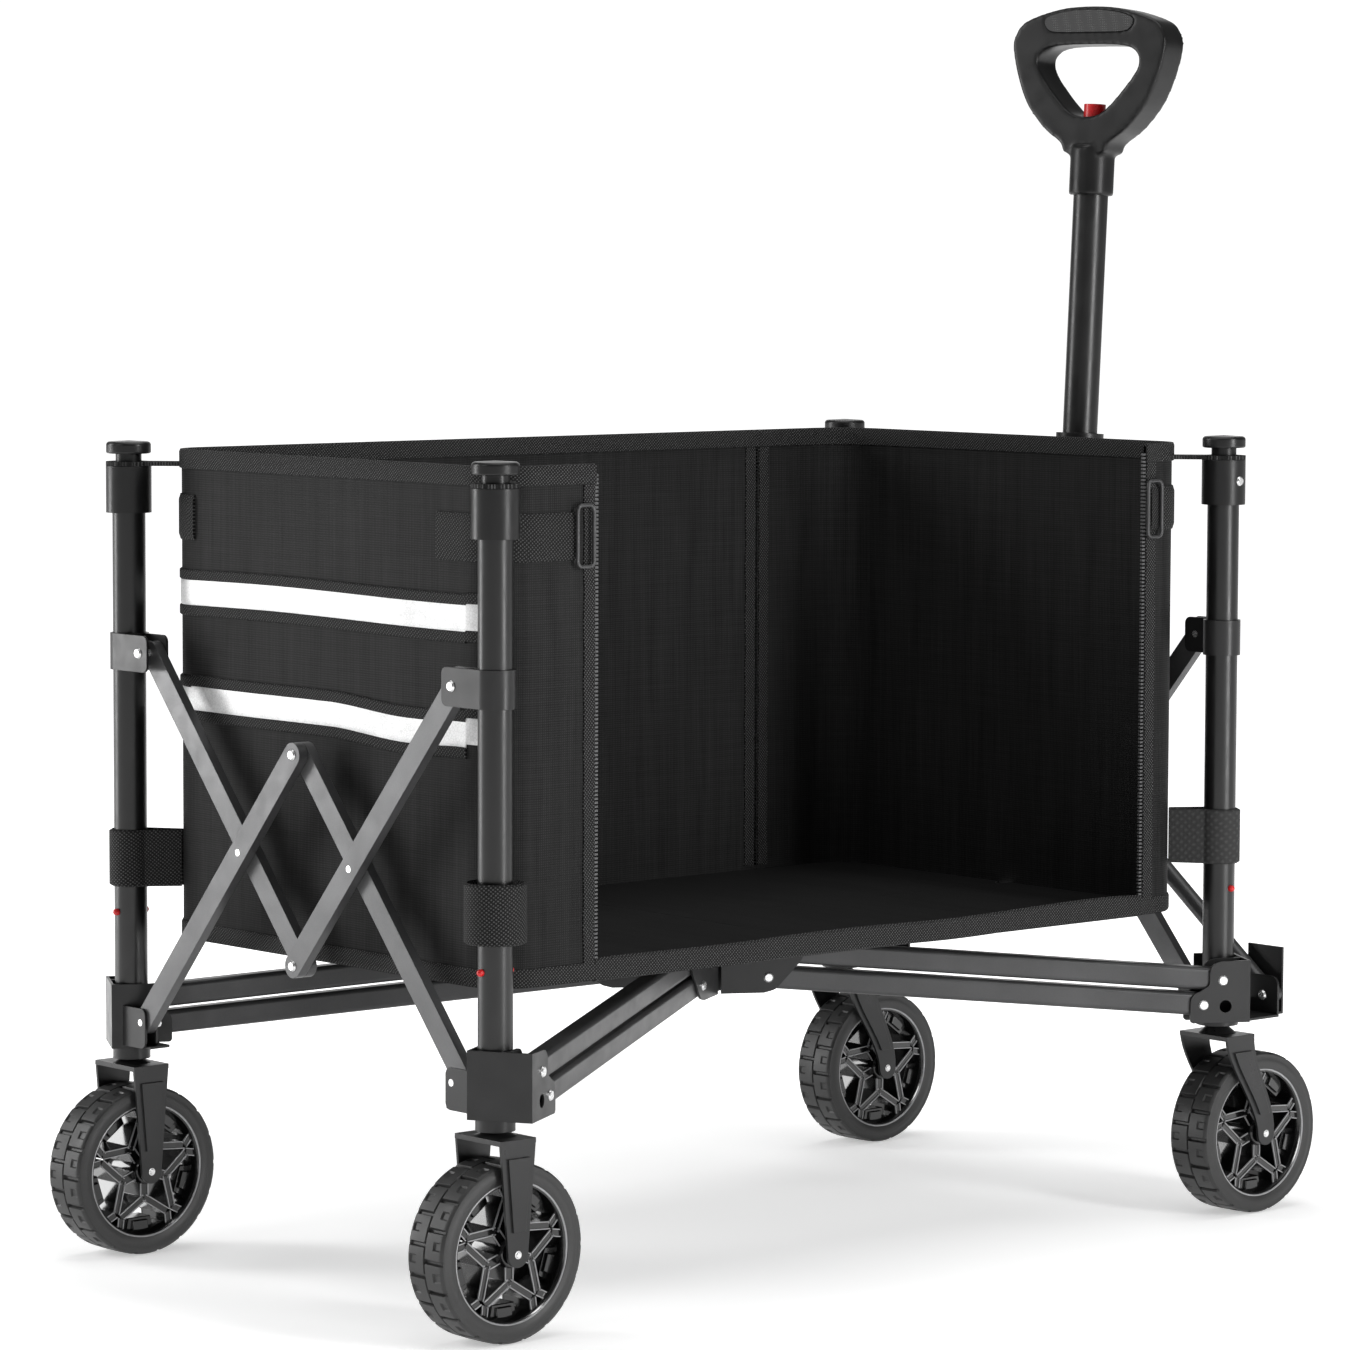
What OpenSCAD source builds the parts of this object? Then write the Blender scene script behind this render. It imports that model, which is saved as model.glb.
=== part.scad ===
// Folding utility wagon: four posts joined by a parallelogram linkage to a
// central hub, scissor braces at both ends, a fabric tub, four wheels and a
// telescoping pull handle.
// Millimetres, +X towards the handle, +Y to the wagon's left, +Z up, floor at z = 0.

/* [Frame] */
// Distance between the front and rear post axes
post_gap_x = 833; // [820:1:860]
// Distance between the right and left post axes
post_gap_y = 487; // [475:1:495]
// Outer diameter of each post
post_d = 28; // [27.6:0.1:28]
// Wall thickness of each post
post_wall = 1.5; // [1.2:0.1:1.8]
// Height of the top of the post knobs
frame_h = 695; // [685:1:705]

/* [Wheels] */
// Tyre diameter
wheel_d = 145; // [140:1:146]
// Tyre width
wheel_w = 46; // [42:1:46]
// How far a front axle trails its swivel
trail = 35; // [30:1:36]
// Axle bolt diameter
axle_d = 6.5; // [6:0.5:9]

/* [Base linkage] */
// Height of one base arm's section
arm_h = 20; // [18:0.5:20]
// Width of one base arm's section
arm_w = 18; // [16:0.5:18]
// Pin-to-pin length of a base arm
arm_len = 394; // [388:1:400]
// Rise of the base arms above level when open
arm_rise = 5; // [4:0.5:6]
// Sideways distance of the arms from their post's axis
arm_side = 26; // [26:0.5:27]

/* [End braces] */
// Width of a brace bar
brace_w = 20; // [18:0.5:20]
// Thickness of a brace bar
brace_t = 8.5; // [8:0.1:8.5]
// Distance of the brace pivots inboard of the post axes
brace_in = 35; // [34.5:0.1:36]
// Height of the lower brace pivots
brace_low_z = 203; // [202:1:205]
// Height of the sliding collars' pivots when open
collar_z = 517; // [514:0.5:519]

/* [Tub] */
// Height of the underside of the tub's bed
bed_z = 273.5; // [272:0.5:275]
// Height of the tub's rim
rim_z = 687; // [670:1:687]
// Clearance from the post axes to the tub's walls
tub_in = 20.5; // [20.5:0.5:24]
// Corner radius of the tub seen from above
tub_r = 40; // [12:1:40]
// Wall thickness of the fabric
wall_t = 3; // [2:0.5:4]
// Length of the flap between a rear post and the side opening
rear_flap = 120; // [100:1:125]
// Length of the flap between the front right post and the side opening
front_flap = 78; // [62:1:90]
// Length of the flap between the front left post and the zipped panel
zip_flap = 132; // [110:1:140]

/* [Handle] */
// Forward lean of the handle
lean = 3; // [0:0.5:5]
// Turn of the grip from square
grip_turn = 9; // [0:1:30]
// Outer diameter of the inner handle tube
handle_d = 32; // [30:0.5:32]
// Length from the handle's pivot to the neck of the grip
reach = 541; // [530:1:550]

/* [Hidden] */
$fn = 48;
FIT = 0.1;
GAP = 0.3;
SHEET = 2.2;
SHIFT_X = -4.64;

CORNERS = [
    ["rear_right", -1, -1],
    ["rear_left", -1, 1],
    ["front_right", 1, -1],
    ["front_left", 1, 1]
];
CORNER_PARTS = [
    "post", "cap", "bracket", "collar", "fork", "wheel", "upper_arm", "lower_arm",
    "rising_brace", "falling_brace", "outer_button", "inner_button"
];
SINGLE_PARTS = [
    "hub", "tub", "side_panel", "handle_base", "handle_outer_tube", "handle_collar",
    "handle_inner_tube", "grip", "grip_pad", "grip_button"
];

// posts
post_r = post_d / 2;
front_x = (post_gap_x - trail) / 2 + SHIFT_X;
rear_x = front_x - post_gap_x;
side_y = post_gap_y / 2;
hub_x = (front_x + rear_x) / 2;
post_low_z = 180.5;
post_top_z = frame_h - 30;

// cap on each post
sleeve_r = 19.3;
sleeve_low_z = frame_h - 61;
sleeve_top_z = frame_h - 21.5;
neck_r = 11;
knob_r = 19;
knob_low_z = frame_h - 11;

// corner bracket
bracket_low_z = 178;
bracket_top_z = 233;
upper_pin = [6.5, 215.5];
lower_pin = [24.1, 194];
bracket_hole = [4, 192.5];
bracket_hole_r = 5.5;
bracket_back = -18.5;
bracket_inner_v = -17;
plate_in_v = arm_side - arm_w / 2 - GAP - SHEET;
plate_out_v = arm_side + arm_w / 2 + GAP;
pin_r = 3;
band_r = post_r + 0.25;

// hub: distances of its pins from its axis, along each arm
hub_to_post = norm([front_x - hub_x, side_y]);
hub_upper = [hub_to_post - upper_pin[0] - arm_len * cos(arm_rise), upper_pin[1] + arm_len * sin(arm_rise)];
hub_lower = [hub_upper[0] - (lower_pin[0] - upper_pin[0]), hub_upper[1] - (upper_pin[1] - lower_pin[1])];
hub_core_r = 46;
hub_low_z = 215;
hub_top_z = 264.6;

// braces
outer_layer = brace_t + 1;
inner_layer = outer_layer - brace_t - 0.5;
brace_reach = side_y - brace_in;
brace_drop = 243.8;
brace_long = norm([brace_reach, brace_drop]);
brace_angle = atan2(brace_reach, brace_drop);
brace_cross = (collar_z - brace_low_z) / 2 / cos(brace_angle);
collar_low_z = collar_z - 16;
collar_top_z = collar_z + 15;

// forks and wheels
fork_top_z = 164;
fork_half_w = 28.5;
fork_t = 2.5;
axle_z = wheel_d / 2;
stem_r = 7;

// snap buttons
button_z = 294;
button_r = 2.9;
button_tip = post_r + 4.2;

// handle
strut_out = 58;
strut_r = 7.5;
strut_pin_y = side_y + 10;
strut_pin_z = 194;
strut_rise = 38;
base_pin_y = 34;
strut_len = (strut_pin_y - base_pin_y) / cos(strut_rise);
base_z = strut_pin_z + strut_len * sin(strut_rise);
handle_x = front_x + 52;
outer_tube_r = 19;
collar_s = [293, 322.5];
neck_len = 39;
grip_half_t = 16;

function post_x(c) = c[1] > 0 ? front_x : rear_x;
function hub_heading(c) = atan2(-c[2] * side_y, hub_x - post_x(c));
function arms_mirrored(c) = c[1] * c[2] > 0;
function rising_layer(c) = c[2] > 0 ? outer_layer : inner_layer;
function falling_layer(c) = c[2] > 0 ? inner_layer : outer_layer;

// Points of an arc, for outlines
function arc(centre, r, from, to, steps = 8) =
    [for (i = [0:steps]) centre + r * [cos(from + (to - from) * i / steps), sin(from + (to - from) * i / steps)]];

// A smooth closed curve through the points of an outline
function on_curve(p, i, t) =
    let (n = len(p), a = p[(i + n - 1) % n], b = p[i], c = p[(i + 1) % n], d = p[(i + 2) % n])
    0.5 * (2 * b + (c - a) * t + (2 * a - 5 * b + 4 * c - d) * t * t + (3 * b - 3 * c + d - a) * t * t * t);
function smooth_outline(p, steps = 4) =
    [for (i = [0:len(p) - 1]) for (k = [0:steps - 1]) on_curve(p, i, k / steps)];

// ---- places ----

module at_post(c) {
    translate([post_x(c), c[2] * side_y, 0]) children();
}

// +X towards the hub, +Y to the side on which the arms pass the post
module arm_frame(c) {
    at_post(c) rotate([0, 0, hub_heading(c)]) mirror([0, arms_mirrored(c) ? 1 : 0, 0]) children();
}

// +X outboard of the wagon's end, +Y towards its middle
module end_frame(c) {
    at_post(c) mirror([c[1] > 0 ? 0 : 1, 0, 0]) mirror([0, c[2] > 0 ? 1 : 0, 0]) children();
}

// +Z along the handle from its pivot, +Y across the grip
module handle_frame(turn = 0) {
    translate([handle_x, 0, base_z]) rotate([0, lean, 0]) rotate([0, 0, turn]) children();
}

// ---- shared shapes ----

module rounded_rect(w, h, r) {
    square([w - 2 * r, h], center = true);
    square([w, h - 2 * r], center = true);
    for (x = [-1, 1]) for (y = [-1, 1]) translate([x * (w / 2 - r), y * (h / 2 - r)]) circle(r);
}

// A plate standing in the XZ plane, its outline given in X and Z
module upright(y, t) {
    translate([0, y + t, 0]) rotate([90, 0, 0]) linear_extrude(t) children();
}

// A pin along +Y from y1 to y2, with a head past each end unless low or high is false
module rivet(y1, y2, r = pin_r, low = true, high = true) {
    head = 1.8;
    translate([0, y1 - 0.05, 0]) rotate([-90, 0, 0]) cylinder(r = r, h = y2 - y1 + FIT);
    if (low) translate([0, y1 - 0.05, 0]) rotate([90, 0, 0]) cylinder(r1 = r * 1.5, r2 = r * 1.1, h = head);
    if (high) translate([0, y2 + 0.05, 0]) rotate([-90, 0, 0]) cylinder(r1 = r * 1.5, r2 = r * 1.1, h = head);
}

// A bore along Y for that pin
module pin_bore(y1, y2, r = pin_r) {
    translate([0, y1 - 1, 0]) rotate([-90, 0, 0]) cylinder(r = r + FIT / 2, h = y2 - y1 + 2);
}

// ---- corner parts ----

module post(c) {
    color("#1c1c1e") at_post(c) difference() {
        translate([0, 0, post_low_z]) cylinder(r = post_r, h = post_top_z - post_low_z);
        translate([0, 0, post_low_z - 1]) cylinder(r = post_r - post_wall, h = post_top_z - post_low_z + 2);
        button_axis(c) translate([0, 0, -post_r - 1]) cylinder(r = button_r + FIT, h = post_d + 2);
    }
}

module cap(c) {
    screw_z = frame_h - 40;
    color("#161617") at_post(c) difference() {
        union() {
            translate([0, 0, sleeve_low_z]) cylinder(r = sleeve_r, h = sleeve_top_z - sleeve_low_z);
            translate([0, 0, sleeve_top_z - 1]) cylinder(r = neck_r, h = knob_low_z - sleeve_top_z + 2);
            rotate_extrude() polygon(concat(
                [[0, frame_h], [0, knob_low_z]],
                arc([knob_r - 1.5, knob_low_z + 1.5], 1.5, -90, 0),
                arc([knob_r - 3, frame_h - 4], 3, 0, 80)
            ));
        }
        translate([0, 0, sleeve_low_z - 1]) cylinder(r = post_r + FIT, h = post_top_z - sleeve_low_z + 1.2);
        cap_screw_axis(c) translate([0, 0, post_r]) cylinder(r = 1.55, h = 10);
    }
    color("silver") at_post(c) cap_screw_axis(c) {
        translate([0, 0, post_r + 0.2]) cylinder(r = 1.5, h = sleeve_r - post_r - 0.1);
        translate([0, 0, sleeve_r + 0.05]) cylinder(r1 = 4.2, r2 = 3, h = 1.6);
    }
    module cap_screw_axis(c) {
        turn = c[1] > 0 ? c[2] * 90 : 0;
        translate([0, 0, screw_z]) rotate([0, 0, turn]) rotate([0, 90, 0]) children();
    }
}

// +Z along the axis of a post's two snap buttons
module button_axis(c) {
    translate([0, 0, button_z]) rotate([0, 0, c[1] > 0 ? c[2] * 90 : 180]) rotate([0, 90, 0]) children();
}

module snap_button(c, side) {
    color("red") at_post(c) button_axis(c) mirror([0, 0, side > 0 ? 0 : 1]) {
        translate([0, 0, 7]) cylinder(r = button_r + 1.6, h = 1.5);
        translate([0, 0, 7]) cylinder(r = button_r, h = button_tip - 7 - button_r);
        translate([0, 0, button_tip - button_r]) sphere(r = button_r);
    }
}

module bracket_plate() {
    mid = (upper_pin[1] + lower_pin[1]) / 2;
    polygon(concat(
        [[bracket_back, bracket_low_z]],
        arc([lower_pin[0] + 9, bracket_low_z + 3], 3, -90, 0),
        arc([lower_pin[0] + 2, lower_pin[1] + 2], 10, 0, 80),
        arc([upper_pin[0] + 18, mid + 10], 6, 250, 180),
        arc([upper_pin[0] + 1, upper_pin[1] + 6], 11, 0, 90),
        [[bracket_back, bracket_top_z]]
    ));
}

module clevis_ear(x, z1, z2, tall) {
    translate([x, 0, 0]) rotate([90, 0, 90]) linear_extrude(SHEET) union() {
        translate([0, z1]) square([brace_in, z2 - z1]);
        translate([brace_in - 1, z1 + 6]) square([tall + 1, z2 - z1 - 12]);
        for (z = [z1 + 6, z2 - 6]) translate([brace_in + tall - 6, z]) circle(6);
        translate([brace_in - 1, z1]) square([tall - 5, z2 - z1]);
    }
}

// A band round the post with two ears that hold a brace bar of the given layer
module brace_clevis(layer, z1, z2, tall = 12) {
    inner_x = layer - brace_t / 2 - GAP - SHEET;
    difference() {
        union() {
            translate([0, 0, z1]) cylinder(r = band_r + SHEET, h = z2 - z1);
            clevis_ear(band_r, z1, z2, tall);
            clevis_ear(inner_x, z1, z2, tall);
        }
        translate([0, 0, z1 - 1]) cylinder(r = band_r, h = z2 - z1 + 2);
    }
}

module brace_rivet(layer, z, head) {
    inner_x = layer - brace_t / 2 - GAP - SHEET;
    translate([0, brace_in, z]) rotate([0, 0, -90]) rivet(inner_x, band_r + SHEET, pin_r, false, head);
}

module brace_rivet_bore(layer, z) {
    inner_x = layer - brace_t / 2 - GAP - SHEET;
    translate([0, brace_in, z]) rotate([0, 0, -90]) pin_bore(inner_x - 3, band_r + SHEET + 3);
}

// The ears outboard of a front bracket that hold a handle strut
module strut_ears() {
    near_x = strut_out - strut_r - GAP - SHEET;
    far_x = strut_out + strut_r + GAP;
    low_z = strut_pin_z - 18;
    pin_y = side_y - strut_pin_y;
    reach_y = [pin_y - 18, pin_y + 18];
    translate([near_x, 0, 0]) rotate([90, 0, 90]) linear_extrude(SHEET) ear_outline(reach_y, low_z, low_z + 36);
    translate([far_x, 0, 0]) rotate([90, 0, 90]) linear_extrude(SHEET)
        translate([pin_y - 7, low_z]) square([41, 60]);
    translate([12, reach_y[0], low_z]) cube([near_x + SHEET - 12, reach_y[1] - reach_y[0], SHEET]);
    translate([12, pin_y - 7, low_z]) cube([far_x + SHEET - 12, 25, SHEET]);
    translate([16, reach_y[1] - SHEET, low_z]) cube([far_x + SHEET - 16, SHEET, 14]);
    module ear_outline(y, z1, z2) {
        translate([y[0], z1]) square([y[1] - y[0], z2 - z1 - 8]);
        translate([y[0] + 8, z1]) square([y[1] - y[0] - 16, z2 - z1]);
        for (x = [y[0] + 8, y[1] - 8]) translate([x, z2 - 8]) circle(8);
    }
}

module bracket(c) {
    span_v = plate_out_v + SHEET - bracket_inner_v;
    low_h = bracket_top_z - bracket_low_z;
    flange_r = c[1] > 0 ? 18.5 : 16;
    flange_low_z = c[1] > 0 ? 171.5 : 168;
    strut_y = side_y - strut_pin_y;
    strut_x = [strut_out - strut_r - GAP - SHEET, strut_out + strut_r + GAP + SHEET];
    color("#3a3a3c") difference() {
        union() {
            arm_frame(c) {
                translate([bracket_back, bracket_inner_v, bracket_low_z]) cube([SHEET, span_v, low_h]);
                translate([bracket_back, bracket_inner_v, bracket_low_z]) cube([36, SHEET, low_h]);
                translate([bracket_back, bracket_inner_v, bracket_low_z]) cube([42, span_v, SHEET]);
                upright(plate_in_v, SHEET) bracket_plate();
                upright(plate_out_v, SHEET) bracket_plate();
                translate([0, 0, flange_low_z]) cylinder(r = flange_r, h = bracket_low_z - flange_low_z + 1);
            }
            end_frame(c) brace_clevis(rising_layer(c), bracket_low_z + 3, brace_low_z + 12, 7);
            end_frame(c) translate([-7, 15, bracket_low_z + 3]) cube([20, brace_in - 5, SHEET]);
            if (c[1] > 0) end_frame(c) strut_ears();
        }
        at_post(c) translate([0, 0, bracket_low_z + SHEET]) cylinder(r = band_r, h = 80);
        at_post(c) translate([0, 0, 157]) cylinder(r = stem_r + FIT, h = 40);
        arm_frame(c) {
            translate([upper_pin[0], 0, upper_pin[1]]) pin_bore(plate_in_v, plate_out_v + SHEET);
            translate([lower_pin[0], 0, lower_pin[1]]) pin_bore(plate_in_v, plate_out_v + SHEET);
            translate([bracket_hole[0], 0, bracket_hole[1]])
                pin_bore(plate_out_v, plate_out_v + SHEET, bracket_hole_r - FIT / 2);
        }
        end_frame(c) brace_rivet_bore(rising_layer(c), brace_low_z);
        if (c[1] > 0) end_frame(c) translate([0, strut_y, strut_pin_z]) rotate([0, 0, -90]) pin_bore(strut_x[0], strut_x[1]);
    }
    color("#2a2a2c") at_post(c) difference() {
        translate([0, 0, post_low_z + 0.3]) cylinder(r = post_r - post_wall - FIT, h = 42);
        translate([0, 0, post_low_z - 1]) cylinder(r = stem_r + FIT, h = 50);
    }
    color("silver") {
        arm_frame(c) translate([upper_pin[0], 0, upper_pin[1]]) arm_rivet();
        arm_frame(c) translate([lower_pin[0], 0, lower_pin[1]]) arm_rivet();
        end_frame(c) brace_rivet(rising_layer(c), brace_low_z, false);
        if (c[1] > 0) end_frame(c) translate([0, strut_y, strut_pin_z]) rotate([0, 0, -90]) rivet(strut_x[0], strut_x[1]);
    }
    // The head on the post's side is left off, because the post passes there
    module arm_rivet() {
        translate([0, plate_in_v, 0]) rotate([-90, 0, 0]) cylinder(r = pin_r, h = plate_out_v + SHEET - plate_in_v + FIT);
        translate([0, plate_out_v + SHEET + 0.05, 0]) rotate([-90, 0, 0]) cylinder(r1 = 4.5, r2 = 3.6, h = 1.6);
    }
}

module collar(c) {
    color("#2c2c2e") end_frame(c) difference() {
        brace_clevis(falling_layer(c), collar_low_z, collar_top_z);
        brace_rivet_bore(falling_layer(c), collar_z);
    }
    color("silver") end_frame(c) brace_rivet(falling_layer(c), collar_z, true);
}

// ---- base linkage ----

module arm(c, pin) {
    tip = 6;
    color("#4a4a4c") arm_frame(c) translate([pin[0], arm_side, pin[1]]) rotate([0, -arm_rise, 0]) difference() {
        translate([-tip, 0, 0]) rotate([90, 0, 90]) linear_extrude(arm_len + 2 * tip) difference() {
            rounded_rect(arm_w, arm_h, 4);
            rounded_rect(arm_w - 3, arm_h - 3, 2.5);
        }
        for (x = [0, arm_len]) translate([x, 0, 0]) pin_bore(-arm_w, arm_w);
    }
}

module hub_plate() {
    slope = atan2(hub_upper[1] - hub_lower[1], hub_upper[0] - hub_lower[0]);
    polygon(concat(
        [[hub_core_r - 22, hub_low_z], [hub_lower[0] - 4, hub_low_z]],
        arc(hub_lower, 12, -80, slope - 90, 3),
        arc(hub_upper, 13.5, slope - 90, 85, 10),
        [[hub_core_r - 22, hub_top_z - 0.5]]
    ));
}

module hub() {
    plates = [plate_in_v, plate_out_v];
    color("#3a3a3c") difference() {
        union() {
            translate([hub_x, 0, hub_low_z]) cylinder(r = hub_core_r - 14, h = hub_top_z - hub_low_z - 0.8);
            for (c = CORNERS) hub_frame(c) {
                translate([0, plates[0], hub_top_z - SHEET]) cube([hub_upper[0] + 6, plates[1] - plates[0] + SHEET, SHEET]);
                for (y = plates) upright(y, SHEET) hub_plate();
            }
        }
        for (c = CORNERS) hub_frame(c) {
            for (pin = [hub_upper, hub_lower]) translate([pin[0], 0, pin[1]]) pin_bore(plates[0], plates[1] + SHEET);
            translate([hub_lower[0] - 16, plates[0] + SHEET, 0]) cube([200, arm_w + 2 * GAP, hub_top_z - SHEET]);
        }
    }
    color("silver") for (c = CORNERS) for (pin = [hub_upper, hub_lower])
        hub_frame(c) translate([pin[0], 0, pin[1]]) rivet(plates[0], plates[1] + SHEET);
    // +X from the hub towards a post, +Y to the side on which the arms pass it
    module hub_frame(c) {
        translate([hub_x, 0, 0]) rotate([0, 0, hub_heading(c) + 180])
            mirror([0, arms_mirrored(c) ? 0 : 1, 0]) children();
    }
}

// ---- end braces ----

// A flat bar from its post-end pin at the origin, along +Y, open at the post end
module brace_bar(layer) {
    cavity = brace_t - 3;
    difference() {
        translate([layer - brace_t / 2, 0, 0]) rotate([90, 0, 90]) linear_extrude(brace_t) union() {
            circle(brace_w / 2);
            translate([0, -brace_w / 2]) square([brace_long, brace_w]);
            translate([brace_long, 0]) circle(brace_w / 2);
        }
        translate([layer - cavity / 2, -brace_w, -brace_w / 2 + 1.5])
            cube([cavity, brace_long + brace_w - 18, brace_w - 3]);
        for (y = [0, brace_cross, brace_long]) translate([0, y, 0]) rotate([0, 0, -90]) pin_bore(-20, 20);
    }
}

// Half of the riveted joint at the middle of the end: each bar keeps its own head
module middle_stud(layer) {
    out = layer == outer_layer ? 1 : -1;
    translate([layer, brace_long, 0]) rotate([0, out * 90, 0]) {
        translate([0, 0, -brace_t / 2 + 0.1]) cylinder(r = pin_r, h = brace_t);
        translate([0, 0, brace_t / 2 + 0.05]) cylinder(r1 = pin_r * 1.5, r2 = pin_r * 1.1, h = 1.8);
    }
}

module rising_brace(c) {
    layer = rising_layer(c);
    ends = [inner_layer - brace_t / 2, outer_layer + brace_t / 2];
    end_frame(c) translate([0, brace_in, brace_low_z]) rotate([90 - brace_angle, 0, 0]) {
        color("#6b6b6e") brace_bar(layer);
        color("silver") middle_stud(layer);
        color("#6b6b6e") translate([0, brace_cross, 0]) rotate([0, 0, -90]) rivet(ends[0], ends[1], pin_r, false, false);
    }
}

module falling_brace(c) {
    layer = falling_layer(c);
    end_frame(c) translate([0, brace_in, collar_z]) rotate([brace_angle - 90, 0, 0]) {
        color("#6b6b6e") brace_bar(layer);
        color("silver") middle_stud(layer);
    }
}

// ---- wheels ----

function leg_centre(t, back) = back * (3 * t * t - 2 * t * t * t);
function leg_half(t, inset) = (18 - 8 * t) - inset;

// A fork leg's outline, from its top edge at t1 to t2 of the way to the axle
module leg_outline(back, inset, t1, t2) {
    steps = 12;
    top_z = fork_top_z;
    polygon(concat(
        [for (i = [0:steps]) let (t = t1 + (t2 - t1) * i / steps)
            [leg_centre(t, back) + leg_half(t, inset), top_z - t * (top_z - axle_z)]],
        [for (i = [steps:-1:0]) let (t = t1 + (t2 - t1) * i / steps)
            [leg_centre(t, back) - leg_half(t, inset), top_z - t * (top_z - axle_z)]]
    ));
}

module fork(c) {
    back = c[1] > 0 ? trail : 0;
    cone_h = c[1] > 0 ? 6.5 : 3.2;
    color("#3f3f41") at_post(c) difference() {
        union() {
            translate([-18, -fork_half_w, fork_top_z - 4]) cube([36, 2 * fork_half_w, 4]);
            translate([0, 0, fork_top_z]) cylinder(r1 = 17, r2 = 9, h = cone_h);
            translate([0, 0, fork_top_z - 1]) cylinder(r = stem_r, h = 50);
            for (y = [-fork_half_w, fork_half_w - fork_t]) upright(y, fork_t) union() {
                leg_outline(back, 0, 0, 1);
                translate([back, axle_z]) circle(10.2);
            }
            for (y = [-fork_half_w - 2, fork_half_w]) upright(y, 2) leg_outline(back, 5.5, 0.16, 0.8);
        }
        translate([back, 0, axle_z]) pin_bore(-fork_half_w, fork_half_w, axle_d / 2);
    }
    color("silver") at_post(c) translate([back, 0, axle_z]) {
        rivet(-fork_half_w, fork_half_w, axle_d / 2, false, false);
        for (side = [-1, 1]) translate([0, side * (fork_half_w - 0.2), 0]) rotate([-90 * side, 0, 0])
            cylinder(r1 = 2.8, r2 = 2.2, h = 1.2);
    }
}

module tyre() {
    half = wheel_w / 2;
    side_r = wheel_d / 2 - 3.5;
    rotate_extrude($fn = 72) polygon(concat(
        [[57.1, -half + 3], [60, -half + 1]],
        arc([side_r, -half + 4], 3.5, -80, 0, 6),
        arc([side_r, half - 4], 3.5, 0, 80, 6),
        [[60, half - 1], [57.1, half - 3]]
    ));
}

module rim() {
    spoke_t = 16;
    difference() {
        union() {
            rotate_extrude($fn = 72) polygon([
                [57, -19], [57, 19], [53, 19], [51, 12], [51, -12], [53, -19]
            ]);
            translate([0, 0, -22]) cylinder(r = 13, h = 44);
            translate([0, 0, -spoke_t / 2]) linear_extrude(spoke_t) for (i = [0:4]) rotate(i * 72 - 90) {
                polygon(concat(
                    [[10, -5], [21, -3.6], [37, -29], [44.5, -29.8], [47.5, -24.5], [40.5, -24.2], [27, 0]],
                    [[40.5, 24.2], [47.5, 24.5], [44.5, 29.8], [37, 29], [21, 3.6], [10, 5]]
                ));
            }
        }
        translate([0, 0, -30]) cylinder(r = axle_d / 2 + FIT / 2, h = 60);
    }
}

module wheel(c) {
    back = c[1] > 0 ? trail : 0;
    at_post(c) translate([back, 0, axle_z]) rotate([90, 0, 0]) {
        color("#232324") tyre();
        color("#0c0c0d") rim();
    }
}

// ---- fabric ----

module tub_outline(inset) {
    rounded_rect(post_gap_x - 2 * tub_in - 2 * inset, post_gap_y - 2 * tub_in - 2 * inset, tub_r - inset);
}

module tub() {
    far_x = [rear_x + rear_flap, front_x - zip_flap];
    near_x = [rear_x + rear_flap, front_x - front_flap];
    bed_top = bed_z + 4;
    color("#262627") difference() {
        translate([hub_x, 0, bed_z]) linear_extrude(rim_z - bed_z) tub_outline(0);
        translate([hub_x, 0, bed_top]) linear_extrude(rim_z) tub_outline(wall_t);
        translate([near_x[0], -side_y, bed_top]) cube([near_x[1] - near_x[0], 60, rim_z]);
        translate([far_x[0], side_y - tub_in - wall_t - GAP, bed_z - 1]) cube([far_x[1] - far_x[0], 60, rim_z]);
    }
}

module side_panel() {
    x = [rear_x + rear_flap + GAP, front_x - zip_flap - GAP];
    color("#262627") translate([x[0], side_y - tub_in - wall_t, bed_z])
        cube([x[1] - x[0], wall_t, rim_z - bed_z]);
}

// ---- handle ----

module handle_strut(side) {
    color("#39393b") translate([front_x + strut_out, side * strut_pin_y, strut_pin_z])
        mirror([0, side > 0 ? 1 : 0, 0]) rotate([strut_rise, 0, 0]) difference() {
        union() {
            rotate([-90, 0, 0]) cylinder(r = strut_r, h = strut_len);
            for (y = [0, strut_len]) translate([-strut_r, y, 0]) rotate([0, 90, 0]) cylinder(r = strut_r, h = 2 * strut_r);
        }
        for (y = [0, strut_len]) translate([0, y, 0]) rotate([0, 0, -90]) pin_bore(-20, 20);
        translate([0, 20, 0]) rotate([-90, 0, 0]) cylinder(r = strut_r - 1.5, h = strut_len - 40);
    }
}

module handle_base() {
    cheek_y = outer_tube_r + 1;
    strut_x = [strut_out - strut_r - GAP - SHEET, strut_out + strut_r + GAP];
    color("#333335") difference() {
        translate([front_x, 0, base_z]) union() {
            for (y = [-cheek_y - 3, cheek_y]) translate([34, y, -30]) cube([40, 3, 48]);
            translate([34, -cheek_y - 3, -30]) cube([40, 2 * cheek_y + 6, 3]);
            for (side = [-1, 1]) for (x = strut_x) translate([x, side > 0 ? cheek_y + 1 : -cheek_y - 23, -12])
                cube([SHEET, 22, 24]);
        }
        translate([handle_x, 0, base_z]) pin_bore(-cheek_y - 3, cheek_y + 3, 4);
        for (side = [-1, 1]) translate([front_x, side * base_pin_y, base_z]) rotate([0, 0, -90])
            pin_bore(strut_x[0], strut_x[1] + SHEET);
    }
    color("silver") {
        translate([handle_x, 0, base_z]) rivet(-cheek_y - 3, cheek_y + 3, 4);
        for (side = [-1, 1]) translate([front_x, side * base_pin_y, base_z]) rotate([0, 0, -90])
            rivet(strut_x[0], strut_x[1] + SHEET);
    }
}

module handle_outer_tube() {
    color("#1f1f21") handle_frame() difference() {
        translate([0, 0, -14]) cylinder(r = outer_tube_r, h = collar_s[1] + 12);
        translate([0, 0, 14]) cylinder(r = handle_d / 2 + FIT, h = 400);
        pin_bore(-30, 30, 4);
    }
}

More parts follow.
